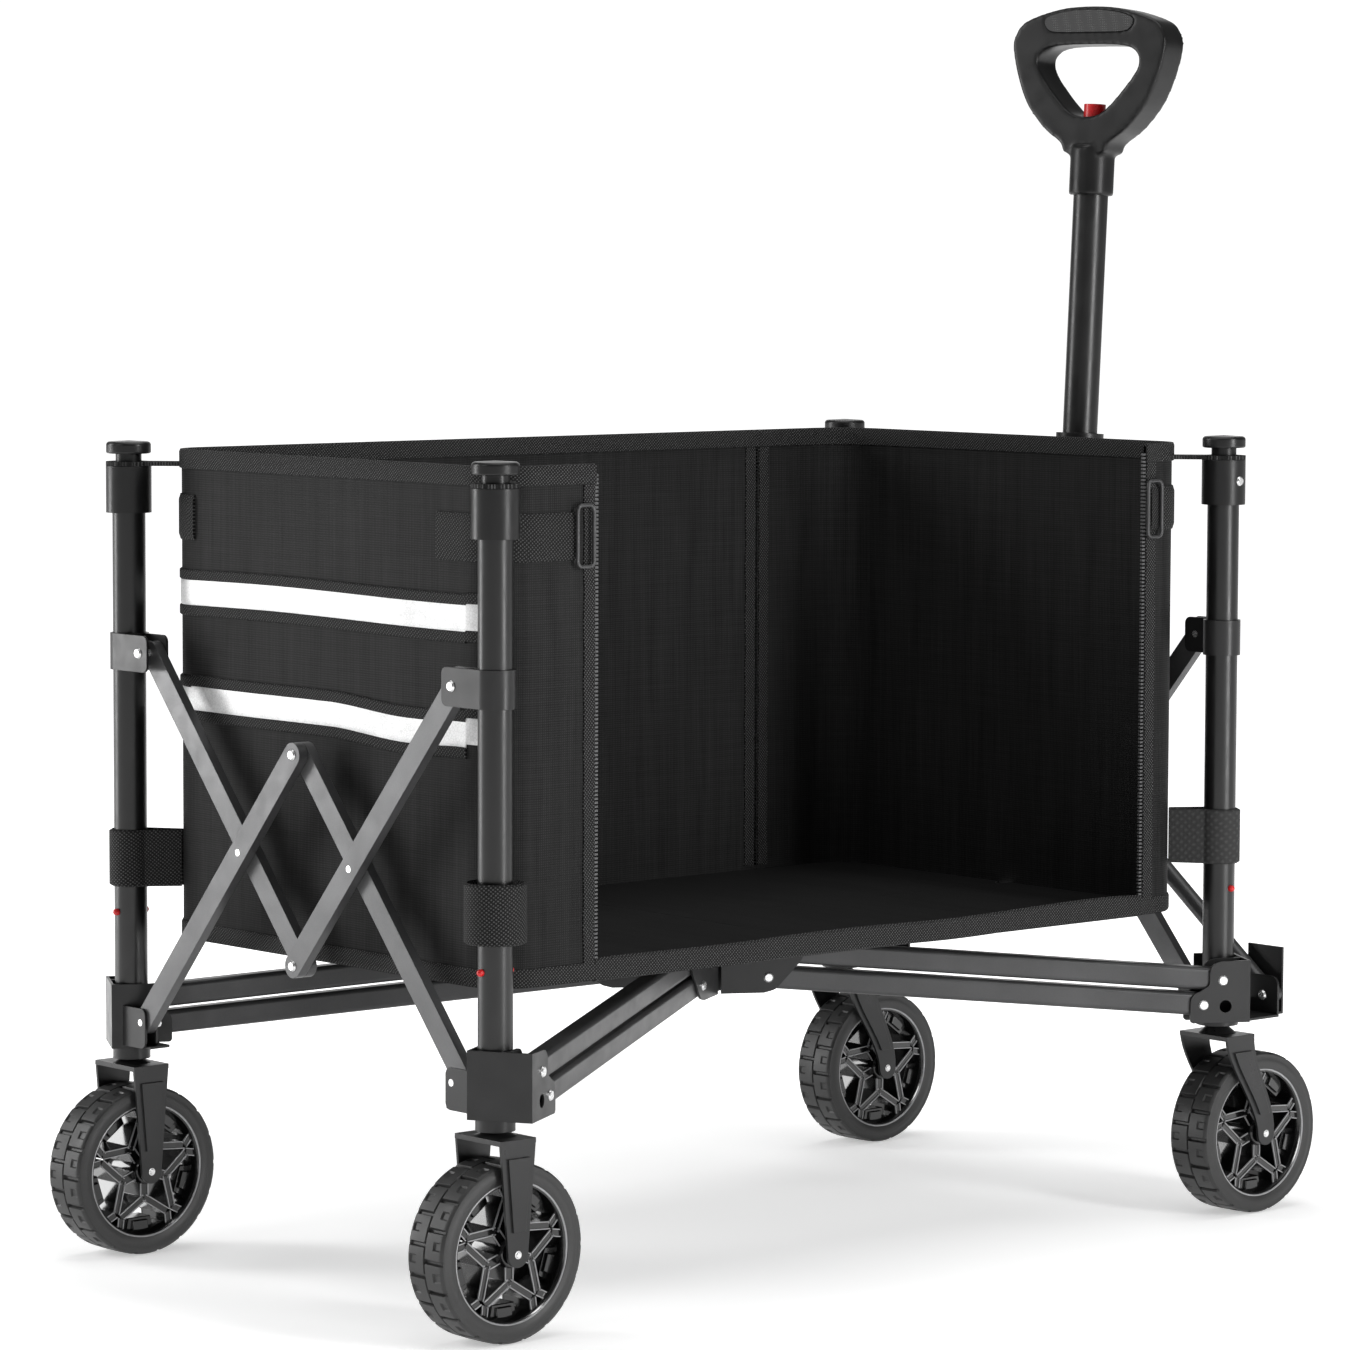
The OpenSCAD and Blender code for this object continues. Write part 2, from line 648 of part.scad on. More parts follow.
module handle_collar() {
    color("#161617") handle_frame() difference() {
        translate([0, 0, collar_s[0]]) cylinder(r = 22, h = collar_s[1] - collar_s[0]);
        translate([0, 0, collar_s[0] - 1]) cylinder(r = outer_tube_r + 0.05, h = collar_s[1] - collar_s[0] - 1);
        translate([0, 0, 14]) cylinder(r = handle_d / 2 + FIT, h = 400);
    }
}

module handle_inner_tube() {
    color("#1c1c1e") handle_frame() difference() {
        translate([0, 0, reach - 270]) cylinder(r = handle_d / 2, h = 270 + 30);
        translate([0, 0, reach - 271]) cylinder(r = handle_d / 2 - 1.5, h = 310);
    }
}

GRIP_OUTER = [
    [0, 173], [28, 171.5], [52, 166.5], [73, 159], [82, 149], [85, 135], [78, 108], [66, 83], [46, 61], [27, 48], [19, 38],
    [-19, 38], [-27, 48], [-46, 61], [-66, 83], [-78, 108], [-85, 135], [-82, 149], [-73, 159], [-52, 166.5], [-28, 171.5]
];
GRIP_HOLE = [
    [0, 138], [34, 137], [50, 133], [57, 124], [53, 112], [37, 93], [18, 76], [0, 72],
    [-18, 76], [-37, 93], [-53, 112], [-57, 124], [-50, 133], [-34, 137]
];
PAD_OUTLINE = [
    [0, 169.5], [26, 168], [45, 163.5], [49, 158], [43, 151], [28, 149.5], [0, 149.5],
    [-28, 149.5], [-43, 151], [-49, 158], [-45, 163.5], [-26, 168]
];

module grip_slab(outline, t, steps = 4) {
    rotate([90, 0, 90]) translate([0, 0, -t / 2]) linear_extrude(t) polygon(smooth_outline(outline, steps));
}

module grip() {
    color("#1a1a1b") handle_frame(grip_turn) translate([0, 0, reach]) difference() {
        union() {
            cylinder(r = 20.5, h = neck_len + 6);
            grip_slab(GRIP_OUTER, 2 * grip_half_t);
        }
        grip_slab(GRIP_HOLE, 4 * grip_half_t);
        translate([0, 0, -1]) cylinder(r = handle_d / 2 + 0.05, h = 32);
        translate([0, 0, 50]) cylinder(r = 10.1, h = 40);
        pad_recess(0.1);
    }
}

// The pad's outline from its floor outwards, on the face towards the tub
module pad_recess(clear) {
    grow = 1 + clear / 10;
    middle_z = 159.5;
    translate([-grip_half_t + 2 + clear, 0, 0]) rotate([90, 0, -90]) linear_extrude(6)
        translate([0, middle_z]) polygon(smooth_outline([for (p = PAD_OUTLINE) [p[0], p[1] - middle_z] * grow]));
}

module grip_pad() {
    color("#2b2b2c") handle_frame(grip_turn) translate([0, 0, reach]) intersection() {
        pad_recess(0);
        translate([-grip_half_t - 0.8, -60, 100]) cube([grip_half_t, 120, 100]);
    }
}

module grip_button() {
    color("red") handle_frame(grip_turn) translate([0, 0, reach + 56]) cylinder(r = 10, h = 28);
}

for (c = CORNERS) {
    post(c);
    cap(c);
    bracket(c);
    collar(c);
    fork(c);
    wheel(c);
    arm(c, upper_pin);
    arm(c, lower_pin);
    rising_brace(c);
    falling_brace(c);
    snap_button(c, 1);
    snap_button(c, -1);
}
handle_strut(-1);  // handle_strut_right
handle_strut(1);  // handle_strut_left
hub();
tub();
side_panel();
handle_base();
handle_outer_tube();
handle_collar();
handle_inner_tube();
grip();
grip_pad();
grip_button();
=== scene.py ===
import math

import bmesh
import bpy
from mathutils import Matrix, Vector, noise


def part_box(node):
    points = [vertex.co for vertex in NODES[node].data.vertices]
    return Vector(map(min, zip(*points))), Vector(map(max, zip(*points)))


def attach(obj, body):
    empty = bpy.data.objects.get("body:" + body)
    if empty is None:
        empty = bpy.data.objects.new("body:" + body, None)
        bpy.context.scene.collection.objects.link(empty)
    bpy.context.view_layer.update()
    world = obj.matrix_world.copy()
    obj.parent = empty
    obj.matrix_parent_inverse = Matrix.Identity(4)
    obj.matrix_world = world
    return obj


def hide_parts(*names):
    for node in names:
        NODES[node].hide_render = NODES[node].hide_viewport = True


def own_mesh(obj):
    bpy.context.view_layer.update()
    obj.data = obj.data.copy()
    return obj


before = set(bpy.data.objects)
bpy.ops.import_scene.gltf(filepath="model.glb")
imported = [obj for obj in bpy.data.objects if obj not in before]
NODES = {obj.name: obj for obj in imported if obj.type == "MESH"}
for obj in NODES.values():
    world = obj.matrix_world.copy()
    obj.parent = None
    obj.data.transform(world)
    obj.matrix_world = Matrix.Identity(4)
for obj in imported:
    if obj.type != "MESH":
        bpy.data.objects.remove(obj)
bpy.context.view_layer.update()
RR, RL, FR, FL = "corner_rear_right", "corner_rear_left", "corner_front_right", "corner_front_left"
CORNERS = {"rear_right": RR, "rear_left": RL, "front_right": FR, "front_left": FL}

# ---------------------------------------------------------------- places, from the frame

tub_lo, tub_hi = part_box("tub")
X0, X1, Y0, Y1 = tub_lo.x, tub_hi.x, tub_lo.y, tub_hi.y
Z0, Z1 = tub_lo.z, tub_hi.z
panel_lo, panel_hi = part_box("side_panel")


def middle(node):
    lo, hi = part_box(node)
    return (lo + hi) / 2


POST = {tag: middle("post_" + tag) for tag in CORNERS}
HUB = middle("hub")
BED_TOP = Z0 + 0.004
CORNER_R = 0.040                       # outside of the tub's upright corners, in plan
WALL = 0.0024                          # thickness of a cloth wall
REAR_FLAP, FRONT_FLAP = 0.120, 0.078   # from a near post to the open side's edge
NEAR_X0 = POST["rear_right"].x + REAR_FLAP
NEAR_X1 = POST["front_right"].x - FRONT_FLAP
FAR_X0, FAR_X1 = panel_lo.x, panel_hi.x


def hang(obj, place):
    """Puts a fabric piece on its body; on the rear, front, far and near sides it also gets its own
    copy of its mesh.
    """
    if place == "rear":
        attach(obj, RR)
        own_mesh(obj)
    elif place == "front":
        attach(obj, FR)
        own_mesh(obj)
    elif place == "far":
        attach(obj, RL)
        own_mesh(obj)
    elif place == "near":
        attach(obj, RR)
        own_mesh(obj)
    else:
        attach(obj, place)
    return obj


# ---------------------------------------------------------------- materials

class Graph:
    """A few short names for building a material's nodes."""

    def __init__(self, name):
        self.mat = bpy.data.materials.new(name)
        self.mat.use_nodes = True
        self.tree = self.mat.node_tree
        self.bsdf = self.tree.nodes["Principled BSDF"]
        self.coord = self.add("ShaderNodeTexCoord")

    def add(self, kind, **values):
        n = self.tree.nodes.new(kind)
        for k, v in values.items():
            if k in n.inputs.keys():
                n.inputs[k].default_value = v
            else:
                setattr(n, k, v)
        return n

    def link(self, a, b):
        self.tree.links.new(a, b)

    def place(self, uv=False, scale=(1, 1, 1), turn=0.0):
        m = self.add("ShaderNodeMapping")
        m.inputs["Scale"].default_value = scale
        m.inputs["Rotation"].default_value = (0, 0, turn)
        self.link(self.coord.outputs["UV" if uv else "Object"], m.inputs["Vector"])
        return m.outputs["Vector"]

    def noise(self, vector, scale, detail=3.0, rough=0.5):
        n = self.add("ShaderNodeTexNoise")
        n.inputs["Scale"].default_value = scale
        n.inputs["Detail"].default_value = detail
        n.inputs["Roughness"].default_value = rough
        self.link(vector, n.inputs["Vector"])
        return n.outputs["Fac"]

    def wave(self, vector, scale, distortion=0.0, direction="X"):
        n = self.add("ShaderNodeTexWave", wave_type="BANDS", bands_direction=direction,
                     wave_profile="SIN")
        n.inputs["Scale"].default_value = scale
        n.inputs["Distortion"].default_value = distortion
        n.inputs["Detail"].default_value = 1.0
        self.link(vector, n.inputs["Vector"])
        return n.outputs["Fac"]

    def math(self, op, a, b):
        n = self.add("ShaderNodeMath", operation=op)
        for i, v in enumerate((a, b)):
            if isinstance(v, (int, float)):
                n.inputs[i].default_value = v
            else:
                self.link(v, n.inputs[i])
        return n.outputs[0]

    def remap(self, v, lo, hi, to_lo, to_hi):
        n = self.add("ShaderNodeMapRange")
        for k, x in (("From Min", lo), ("From Max", hi), ("To Min", to_lo), ("To Max", to_hi)):
            n.inputs[k].default_value = x
        self.link(v, n.inputs["Value"])
        return n.outputs["Result"]

    def ramp(self, v, stops):
        n = self.add("ShaderNodeValToRGB")
        while len(n.color_ramp.elements) < len(stops):
            n.color_ramp.elements.new(0.5)
        for e, (pos, col) in zip(n.color_ramp.elements, stops):
            e.position = pos
            e.color = (*col, 1)
        self.link(v, n.inputs["Fac"])
        return n.outputs["Color"]

    def bump(self, height, strength, distance, bevel=0.0):
        n = self.add("ShaderNodeBump")
        n.inputs["Strength"].default_value = strength
        n.inputs["Distance"].default_value = distance
        self.link(height, n.inputs["Height"])
        if bevel:
            b = self.add("ShaderNodeBevel")
            b.samples = 4
            b.inputs["Radius"].default_value = bevel
            self.link(b.outputs["Normal"], n.inputs["Normal"])
        self.link(n.outputs["Normal"], self.bsdf.inputs["Normal"])

    def set(self, **values):
        for k, v in values.items():
            self.bsdf.inputs[k.replace("_", " ")].default_value = v


def grey(v, tint=0.0):
    return (v, v, v * (1 + tint))


def coated(name, tone, rough, grain, bump, metallic=0.0, coat=0.0, bevel=0.0006, spec=0.5):
    """Powder-coated or moulded surface: fine grain, slow tone drift and uneven gloss."""
    spread = 0.22
    g = Graph(name)
    v = g.place()
    slow = g.noise(v, 14.0, 4.0, 0.6)
    fine = g.noise(v, grain, 2.0, 0.6)
    mixed = g.math("ADD", g.math("MULTIPLY", slow, 0.75), g.math("MULTIPLY", fine, 0.25))
    dark, light = grey(tone * (1 - spread), 0.02), grey(tone * (1 + spread), 0.02)
    g.link(g.ramp(mixed, [(0.3, dark), (0.7, light)]), g.bsdf.inputs["Base Color"])
    gloss = g.remap(g.noise(v, 55.0, 3.0), 0.3, 0.7, rough * 0.86, rough * 1.16)
    g.link(gloss, g.bsdf.inputs["Roughness"])
    g.set(Metallic=metallic, Coat_Weight=coat, Coat_Roughness=0.18, Specular_IOR_Level=spec)
    g.bump(fine, bump, 0.0002, bevel)
    return g.mat


def bright_steel(name):
    g = Graph(name)
    v = g.place()
    brushed = g.noise(v, 1400.0, 2.0)
    g.link(g.ramp(brushed, [(0.3, grey(0.62)), (0.7, grey(0.86))]), g.bsdf.inputs["Base Color"])
    g.link(g.remap(brushed, 0.3, 0.7, 0.2, 0.34), g.bsdf.inputs["Roughness"])
    g.set(Metallic=0.85)
    g.bump(brushed, 0.08, 0.0001, 0.0004)
    return g.mat


def woven(name, tone):
    """Plain-weave cloth: threads both ways with slubs that run along them."""
    slub, pitch = 0.8, 165.0
    g = Graph(name)
    across = g.place(True, (1, 1, 1))
    warp = g.wave(across, pitch, 0.6, "X")
    weft = g.wave(across, pitch, 0.6, "Y")
    threads = g.math("MULTIPLY", warp, weft)
    warp_slub = g.noise(g.place(True, (420, 12, 1)), 1.0, 3.0, 0.6)
    weft_slub = g.noise(g.place(True, (12, 420, 1)), 1.0, 3.0, 0.6)
    broad = g.noise(g.place(True, (90, 5, 1)), 1.0, 2.0, 0.5)
    slubs = g.math("ADD", g.math("MULTIPLY", warp_slub, 0.6), g.math("MULTIPLY", weft_slub, 0.4))
    slubs = g.math("ADD", g.math("MULTIPLY", slubs, 0.65), g.math("MULTIPLY", broad, 0.35))
    drift = g.noise(g.place(True, (5, 2.2, 1)), 1.0, 2.0, 0.5)
    shade = g.math("ADD", g.math("MULTIPLY", slubs, 0.60), g.math("MULTIPLY", threads, 0.28))
    shade = g.math("ADD", shade, g.math("MULTIPLY", drift, 0.12))
    stops = [(0.28, grey(tone * (1 - slub))), (0.5, grey(tone)), (0.72, grey(tone * (1 + slub)))]
    g.link(g.ramp(shade, stops), g.bsdf.inputs["Base Color"])
    g.set(Roughness=0.7, Specular_IOR_Level=0.16)
    height = g.math("ADD", g.math("MULTIPLY", threads, 0.5), g.math("MULTIPLY", slubs, 0.7))
    g.bump(height, 0.35, 0.0006)
    return g.mat


def twill(name, dark, light, pitch):
    """Heavy webbing or binding: raised diagonal dashes on a dark ground."""
    g = Graph(name)
    diag = g.wave(g.place(True, (1, 1, 1), 0.9), pitch, 1.8, "X")
    cross = g.wave(g.place(True, (1, 1, 1), -0.75), pitch * 1.1, 1.2, "X")
    speck = g.noise(g.place(True, (1, 1, 1)), 480.0, 2.0, 0.7)
    h = g.math("MULTIPLY", diag, cross)
    h = g.math("ADD", g.math("MULTIPLY", h, 0.65), g.math("MULTIPLY", speck, 0.45))
    stops = [(0.3, grey(dark)), (0.6, grey((dark + light) / 2)), (0.85, grey(light))]
    g.link(g.ramp(h, stops), g.bsdf.inputs["Base Color"])
    g.set(Roughness=0.75, Specular_IOR_Level=0.2)
    g.bump(h, 0.6, 0.0008)
    return g.mat


def tape(name):
    """Retro-reflective tape: pale silver with a fine honeycomb and a few scuffs."""
    g = Graph(name)
    v = g.place(True, (1, 1, 1))
    cells = g.add("ShaderNodeTexVoronoi", feature="DISTANCE_TO_EDGE")
    cells.inputs["Scale"].default_value = 420.0
    g.link(v, cells.inputs["Vector"])
    slow = g.noise(v, 22.0, 3.0, 0.6)
    h = g.remap(cells.outputs["Distance"], 0.0, 0.12, 0.0, 1.0)
    mixed = g.math("ADD", g.math("MULTIPLY", slow, 0.8), g.math("MULTIPLY", h, 0.2))
    g.link(g.ramp(mixed, [(0.3, grey(0.50)), (0.75, grey(0.82))]), g.bsdf.inputs["Base Color"])
    g.link(g.remap(slow, 0.3, 0.7, 0.28, 0.45), g.bsdf.inputs["Roughness"])
    g.set(Metallic=0.15)
    g.bump(h, 0.15, 0.0002)
    return g.mat


def rubber(name, tone):
    g = Graph(name)
    v = g.place()
    fine = g.noise(v, 700.0, 3.0, 0.65)
    dust = g.noise(v, 30.0, 4.0, 0.65)
    mixed = g.math("ADD", g.math("MULTIPLY", dust, 0.7), g.math("MULTIPLY", fine, 0.3))
    stops = [(0.3, grey(tone * 0.75)), (0.7, grey(tone * 1.3))]
    g.link(g.ramp(mixed, stops), g.bsdf.inputs["Base Color"])
    g.link(g.remap(dust, 0.3, 0.7, 0.38, 0.55), g.bsdf.inputs["Roughness"])
    g.set(Specular_IOR_Level=0.45)
    g.bump(fine, 0.12, 0.0003, 0.0004)
    return g.mat


def red_plastic(name):
    g = Graph(name)
    v = g.place()
    n = g.noise(v, 60.0, 3.0)
    deep, bright = (0.42, 0.006, 0.008), (0.62, 0.012, 0.014)
    g.link(g.ramp(n, [(0.3, deep), (0.7, bright)]), g.bsdf.inputs["Base Color"])
    g.link(g.remap(n, 0.3, 0.7, 0.26, 0.36), g.bsdf.inputs["Roughness"])
    g.bump(g.noise(v, 900.0, 2.0), 0.05, 0.0001, 0.0005)
    return g.mat


def dotted(name):
    """Soft overmould with rows of small raised dots."""
    g = Graph(name)
    v = g.place()
    cells = g.add("ShaderNodeTexVoronoi", feature="F1")
    cells.inputs["Scale"].default_value = 480.0
    cells.inputs["Randomness"].default_value = 0.12
    g.link(v, cells.inputs["Vector"])
    h = g.remap(cells.outputs["Distance"], 0.15, 0.45, 1.0, 0.0)
    g.link(g.ramp(h, [(0.2, grey(0.02)), (0.9, grey(0.07))]), g.bsdf.inputs["Base Color"])
    g.set(Roughness=0.6)
    g.bump(h, 0.5, 0.0005)
    return g.mat


M_TUBE = coated("black_tube", 0.004, 0.33, 700.0, 0.0, bevel=0.0)
M_CAP = coated("cap_plastic", 0.007, 0.34, 500.0, 0.03, spec=0.35)
M_SHEET = coated("sheet_metal", 0.016, 0.34, 800.0, 0.02, metallic=0.15, spec=0.4)
M_ARM = coated("arm_paint", 0.055, 0.34, 800.0, 0.02, metallic=0.35)
M_BAR = coated("bar_paint", 0.085, 0.34, 800.0, 0.02, metallic=0.4)
M_FORK = coated("fork_paint", 0.020, 0.31, 800.0, 0.02, metallic=0.2, spec=0.45)
M_GRIP = coated("grip_plastic", 0.006, 0.36, 600.0, 0.04, spec=0.28)
M_STEEL = bright_steel("bright_steel")
M_CLOTH = woven("oxford_cloth", 0.0165)
M_BED = woven("bed_cloth", 0.009)
M_BIND = twill("binding", 0.004, 0.095, 140.0)
M_WEB = twill("webbing", 0.004, 0.080, 130.0)
# the same webbing with a lighter, flatter ground, for the loop at the front right post: painted
# sheen
M_WEB_SHEEN = twill("webbing_painted_sheen", 0.030, 0.050, 60.0)
M_TAPE = tape("reflective_tape")
M_RUBBER = rubber("tyre_rubber", 0.026)
M_RIM = coated("rim_gloss", 0.004, 0.12, 300.0, 0.02, coat=0.5, bevel=0.0005)
M_EDGE = coated("rim_edge", 0.32, 0.22, 300.0, 0.02, metallic=0.3)
M_RED = red_plastic("red_plastic")
M_PAD = dotted("dotted_pad")
M_WIRE = coated("wire_paint", 0.05, 0.35, 600.0, 0.05, metallic=0.3)
M_TEETH = coated("zip_teeth", 0.075, 0.35, 500.0, 0.05)


# ---------------------------------------------------------------- mesh helpers

def mesh_object(name, verts, faces, mat, uvs=None, smooth=True, angle=None):
    """uvs is one (u, v) per vertex, in metres."""
    me = bpy.data.meshes.new(name)
    me.from_pydata([tuple(v) for v in verts], [], faces)
    me.update()
    if uvs is not None:
        layer = me.uv_layers.new(name="UVMap")
        for loop in me.loops:
            layer.data[loop.index].uv = uvs[loop.vertex_index]
    for p in me.polygons:
        p.use_smooth = smooth
    ob = bpy.data.objects.new(name, me)
    bpy.context.scene.collection.objects.link(ob)
    me.materials.append(mat)
    if angle is not None:
        me.set_sharp_from_angle(angle=math.radians(angle))
    return ob


def outward(ob):
    """Turns every face of a closed mesh to look outward."""
    bm = bmesh.new()
    bm.from_mesh(ob.data)
    bmesh.ops.recalc_face_normals(bm, faces=bm.faces)
    bm.to_mesh(ob.data)
    bm.free()


def ring_faces(rings, m, closed=False, flip=False):
    """Faces between neighbouring rings of m vertices, with a cap on each end of an open run."""
    faces = []
    for i in range(rings if closed else rings - 1):
        a, b = i * m, (i + 1) % rings * m
        for k in range(m):
            n = (k + 1) % m
            faces.append((a + k, b + k, b + n, a + n) if flip else (a + k, a + n, b + n, b + k))
    if not closed:
        first, last = tuple(range(m)), tuple((rings - 1) * m + k for k in range(m))
        faces += [first, last[::-1]] if flip else [first[::-1], last]
    return faces


def neighbours(pts, i, closed):
    """The points before and after point i of a run, or the point itself at an open end."""
    n = len(pts)
    if closed:
        return pts[(i - 1) % n], pts[(i + 1) % n]
    return pts[max(i - 1, 0)], pts[min(i + 1, n - 1)]


def shell(name, point, nu, nv, thick, mat, uv):
    """A closed thin sheet over point(a, b), a and b from 0 to 1. point gives the outer
    surface and its outward normal; the sheet lies inward of it by thick."""
    verts, uvs, faces = [], [], []
    for layer in (0, 1):
        for i in range(nu + 1):
            for j in range(nv + 1):
                p, n = point(i / nu, j / nv)
                verts.append(p - n * (thick * layer))
                uvs.append(uv(i / nu, j / nv))
    w, size = nv + 1, (nu + 1) * (nv + 1)
    for i in range(nu):
        for j in range(nv):
            a, b, c, d = i * w + j, (i + 1) * w + j, (i + 1) * w + j + 1, i * w + j + 1
            faces.append((a, b, c, d))
            faces.append((size + d, size + c, size + b, size + a))
    for i in range(nu):
        for j in (0, nv):
            a, b = i * w + j, (i + 1) * w + j
            q = (b, a, size + a, size + b)
            faces.append(q if j == 0 else q[::-1])
    for j in range(nv):
        for i in (0, nu):
            a, b = i * w + j, i * w + j + 1
            q = (a, b, size + b, size + a)
            faces.append(q if i == 0 else q[::-1])
    ob = mesh_object(name, verts, faces, mat, uvs, True, 50)
    outward(ob)
    return ob


def ribbon(name, points, ups, width, thick, mat):
    """A flat strap along points. ups point out of its face; its width lies across."""
    pts = [Vector(p) for p in points]
    section = ((-1, 0), (-0.94, 1), (0.94, 1), (1, 0), (0.94, -0.02), (-0.94, -0.02))
    verts, uvs, s = [], [], 0.0
    for i, p in enumerate(pts):
        before, after = neighbours(pts, i, False)
        along = (after - before).normalized()
        up = Vector(ups[i]).normalized()
        side = along.cross(up).normalized()
        up = side.cross(along).normalized()
        if i:
            s += (p - pts[i - 1]).length
        for a, b in section:
            verts.append(p + side * (a * width / 2) + up * (b * thick))
            uvs.append((s, a * width / 2))
    ob = mesh_object(name, verts, ring_faces(len(pts), len(section)), mat, uvs, True, 40)
    outward(ob)
    return ob


def wire(name, pts, radius, mat, sides=10):
    """A round wire along a closed run of points."""
    verts, uvs = [], []
    ref = None
    for i, p in enumerate(pts):
        a, b = neighbours(pts, i, True)
        t = (b - a).normalized()
        if ref is None:
            ref = t.orthogonal().normalized()
        ref = (ref - t * ref.dot(t)).normalized()
        other = t.cross(ref)
        for k in range(sides):
            q = 2 * math.pi * k / sides
            verts.append(p + (ref * math.cos(q) + other * math.sin(q)) * radius)
            uvs.append((i * 0.002, q * radius))
    return mesh_object(name, verts, ring_faces(len(pts), sides, closed=True), mat, uvs)


def ease(t):
    t = min(max(t, 0.0), 1.0)
    return t * t * (3 - 2 * t)


# ---------------------------------------------------------------- tub

def arc_path(cx, cy, a0, a1, steps=14):
    out = []
    for i in range(steps + 1):
        a = math.radians(a0 + (a1 - a0) * i / steps)
        n = Vector((math.cos(a), math.sin(a), 0))
        out.append((Vector((cx, cy, 0)) + n * CORNER_R, n))
    return out


def line_path(x0, y0, x1, y1, n, steps):
    out = []
    for i in range(steps + 1):
        t = i / steps
        out.append((Vector((x0 + (x1 - x0) * t, y0 + (y1 - y0) * t, 0)), Vector(n)))
    return out


def wrinkle(s, z, seed, size):
    """Soft folds of pulled cloth, in metres, outward."""
    a = noise.noise(Vector((s * 5.5, z * 3.0, seed)))
    b = noise.noise(Vector((s * 14.0 + z * 9.0, z * 6.0, seed + 7.3)))
    return size * (0.8 * a + 0.35 * b)


def wall(name, path, place, seed, size, bulge):
    """A wall over a plan path of (point, normal). Its folds die out at all four edges."""
    lengths = [0.0]
    for (p, _), (q, _) in zip(path, path[1:]):
        lengths.append(lengths[-1] + (q - p).length)
    total = lengths[-1]
    rows = 44

    def point(a, b):
        i = min(int(round(a * (len(path) - 1))), len(path) - 1)
        p, n = path[i]
        s, z = lengths[i], Z0 + (Z1 - Z0) * b
        window = ease(s / 0.05) * ease((total - s) / 0.05)
        up = ease(b / 0.12) * ease((1 - b) / 0.12)
        d = wrinkle(s, z, seed, size) * window * up
        d += bulge * math.sin(math.pi * b) * math.sin(math.pi * s / total) * window
        return Vector((p.x, p.y, z)) + n * d, n

    ob = shell(name, point, len(path) - 1, rows, WALL, M_CLOTH,
               lambda a, b: (a * total, (Z1 - Z0) * b))
    hang(ob, place)
    return ob, point, total


CX = {"lo": X0 + CORNER_R, "hi": X1 - CORNER_R}
CY = {"lo": Y0 + CORNER_R, "hi": Y1 - CORNER_R}
paths = {
    "rear": line_path(X0, CY["hi"], X0, CY["lo"], (-1, 0, 0), 60),
    "front": line_path(X1, CY["lo"], X1, CY["hi"], (1, 0, 0), 60),
    "rear_right": arc_path(CX["lo"], CY["lo"], 180, 270)[:-1]
    + line_path(CX["lo"], Y0, NEAR_X0, Y0, (0, -1, 0), 12),
    "front_right": line_path(NEAR_X1, Y0, CX["hi"], Y0, (0, -1, 0), 6)[:-1]
    + arc_path(CX["hi"], CY["lo"], 270, 360),
    "front_left": arc_path(CX["hi"], CY["hi"], 0, 90)[:-1]
    + line_path(CX["hi"], Y1, FAR_X1 + 0.0003, Y1, (0, 1, 0), 14),
    "rear_left": line_path(FAR_X0 - 0.0003, Y1, CX["lo"], Y1, (0, 1, 0), 14)[:-1]
    + arc_path(CX["lo"], CY["hi"], 90, 180),
    "far": line_path(FAR_X1, Y1, FAR_X0, Y1, (0, 1, 0), 90),
}
# each wall's place, the height of its folds and how far it bulges
where = {"rear": "rear", "front": "front", "far": "far", **CORNERS}
folds = {"rear": (0.0022, 0.002), "front": (0.0012, 0.003), "far": (0.0016, 0.002),
         "rear_right": (0.0006, 0), "front_right": (0.0004, 0), "front_left": (0.0006, 0),
         "rear_left": (0.0006, 0)}
walls = {}
for seed, (key, path) in enumerate(paths.items()):
    size, bulge = folds[key]
    walls[key] = wall("tub_" + key, path, where[key], seed * 3.1, size, bulge)
    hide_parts("side_panel" if key == "far" else "tub")


def wall_band(name, key, z_lo, z_hi, thick, mat, a0=0.0, a1=1.0, shape=None):
    """A strip sewn on the outside of a wall between two heights, along it from a0 to a1;
    shape(t) moves both edges up or down."""
    _, point, total = walls[key]
    last = len(paths[key]) - 1
    i0, i1 = int(round(a0 * last)), int(round(a1 * last))
    steps = i1 - i0

    def band(a, b):
        i = i0 + int(round(a * steps))
        t = i / last
        dz = shape(t) if shape else 0.0
        z = z_lo + (z_hi - z_lo) * b + dz
        p, n = point(t, (z - Z0) / (Z1 - Z0))
        edge = 1.0 if 0.02 < b < 0.98 else 0.45
        return p + n * (thick * edge), n

    ob = shell(name, band, steps, 8, thick * 0.98, mat,
               lambda a, b: ((a0 + (a1 - a0) * a) * total, (z_hi - z_lo) * b))
    hang(ob, where[key])
    return ob


def rim_binding(key):
    """The folded strip over a wall's top edge, the same depth outside and inside."""
    _, point, total = walls[key]
    last = len(paths[key]) - 1
    prof = [(0.0012, -0.0145), (0.0020, -0.0140), (0.0021, -0.001), (0.0012, 0.0014)]
    prof += [(-out - WALL, dz) for out, dz in reversed(prof)]
    verts, uvs = [], []
    for i in range(last + 1):
        run = 0.0
        for k, (out, dz) in enumerate(prof):
            p, n = point(i / last, 1.0 + min(dz, 0.0) / (Z1 - Z0))
            verts.append(Vector((p.x, p.y, Z1 + dz)) + n * out)
            if k:
                run += math.dist(prof[k], prof[k - 1])
            uvs.append((i / last * total, run))
    faces = ring_faces(last + 1, len(prof), flip=True)
    ob = mesh_object("rim_" + key, verts, faces, M_BIND, uvs, True, 40)
    outward(ob)
    hang(ob, where[key])


for key in paths:
    rim_binding(key)
    wall_band("hem_" + key, key, Z0 + 0.0005, Z0 + 0.015, 0.0016, M_BIND)

# reflective bands across the rear wall and on round its corners, each between two strips of
# webbing; the lower one dips, and round the corners it sits a little higher
def wavy(t):
    return 0.0015 - 0.0060 * ease((t - 0.52) / 0.28) + 0.0015 * ease((t - 0.85) / 0.12)


def slight(t):
    return 0.0012 * math.sin(5.0 * t)


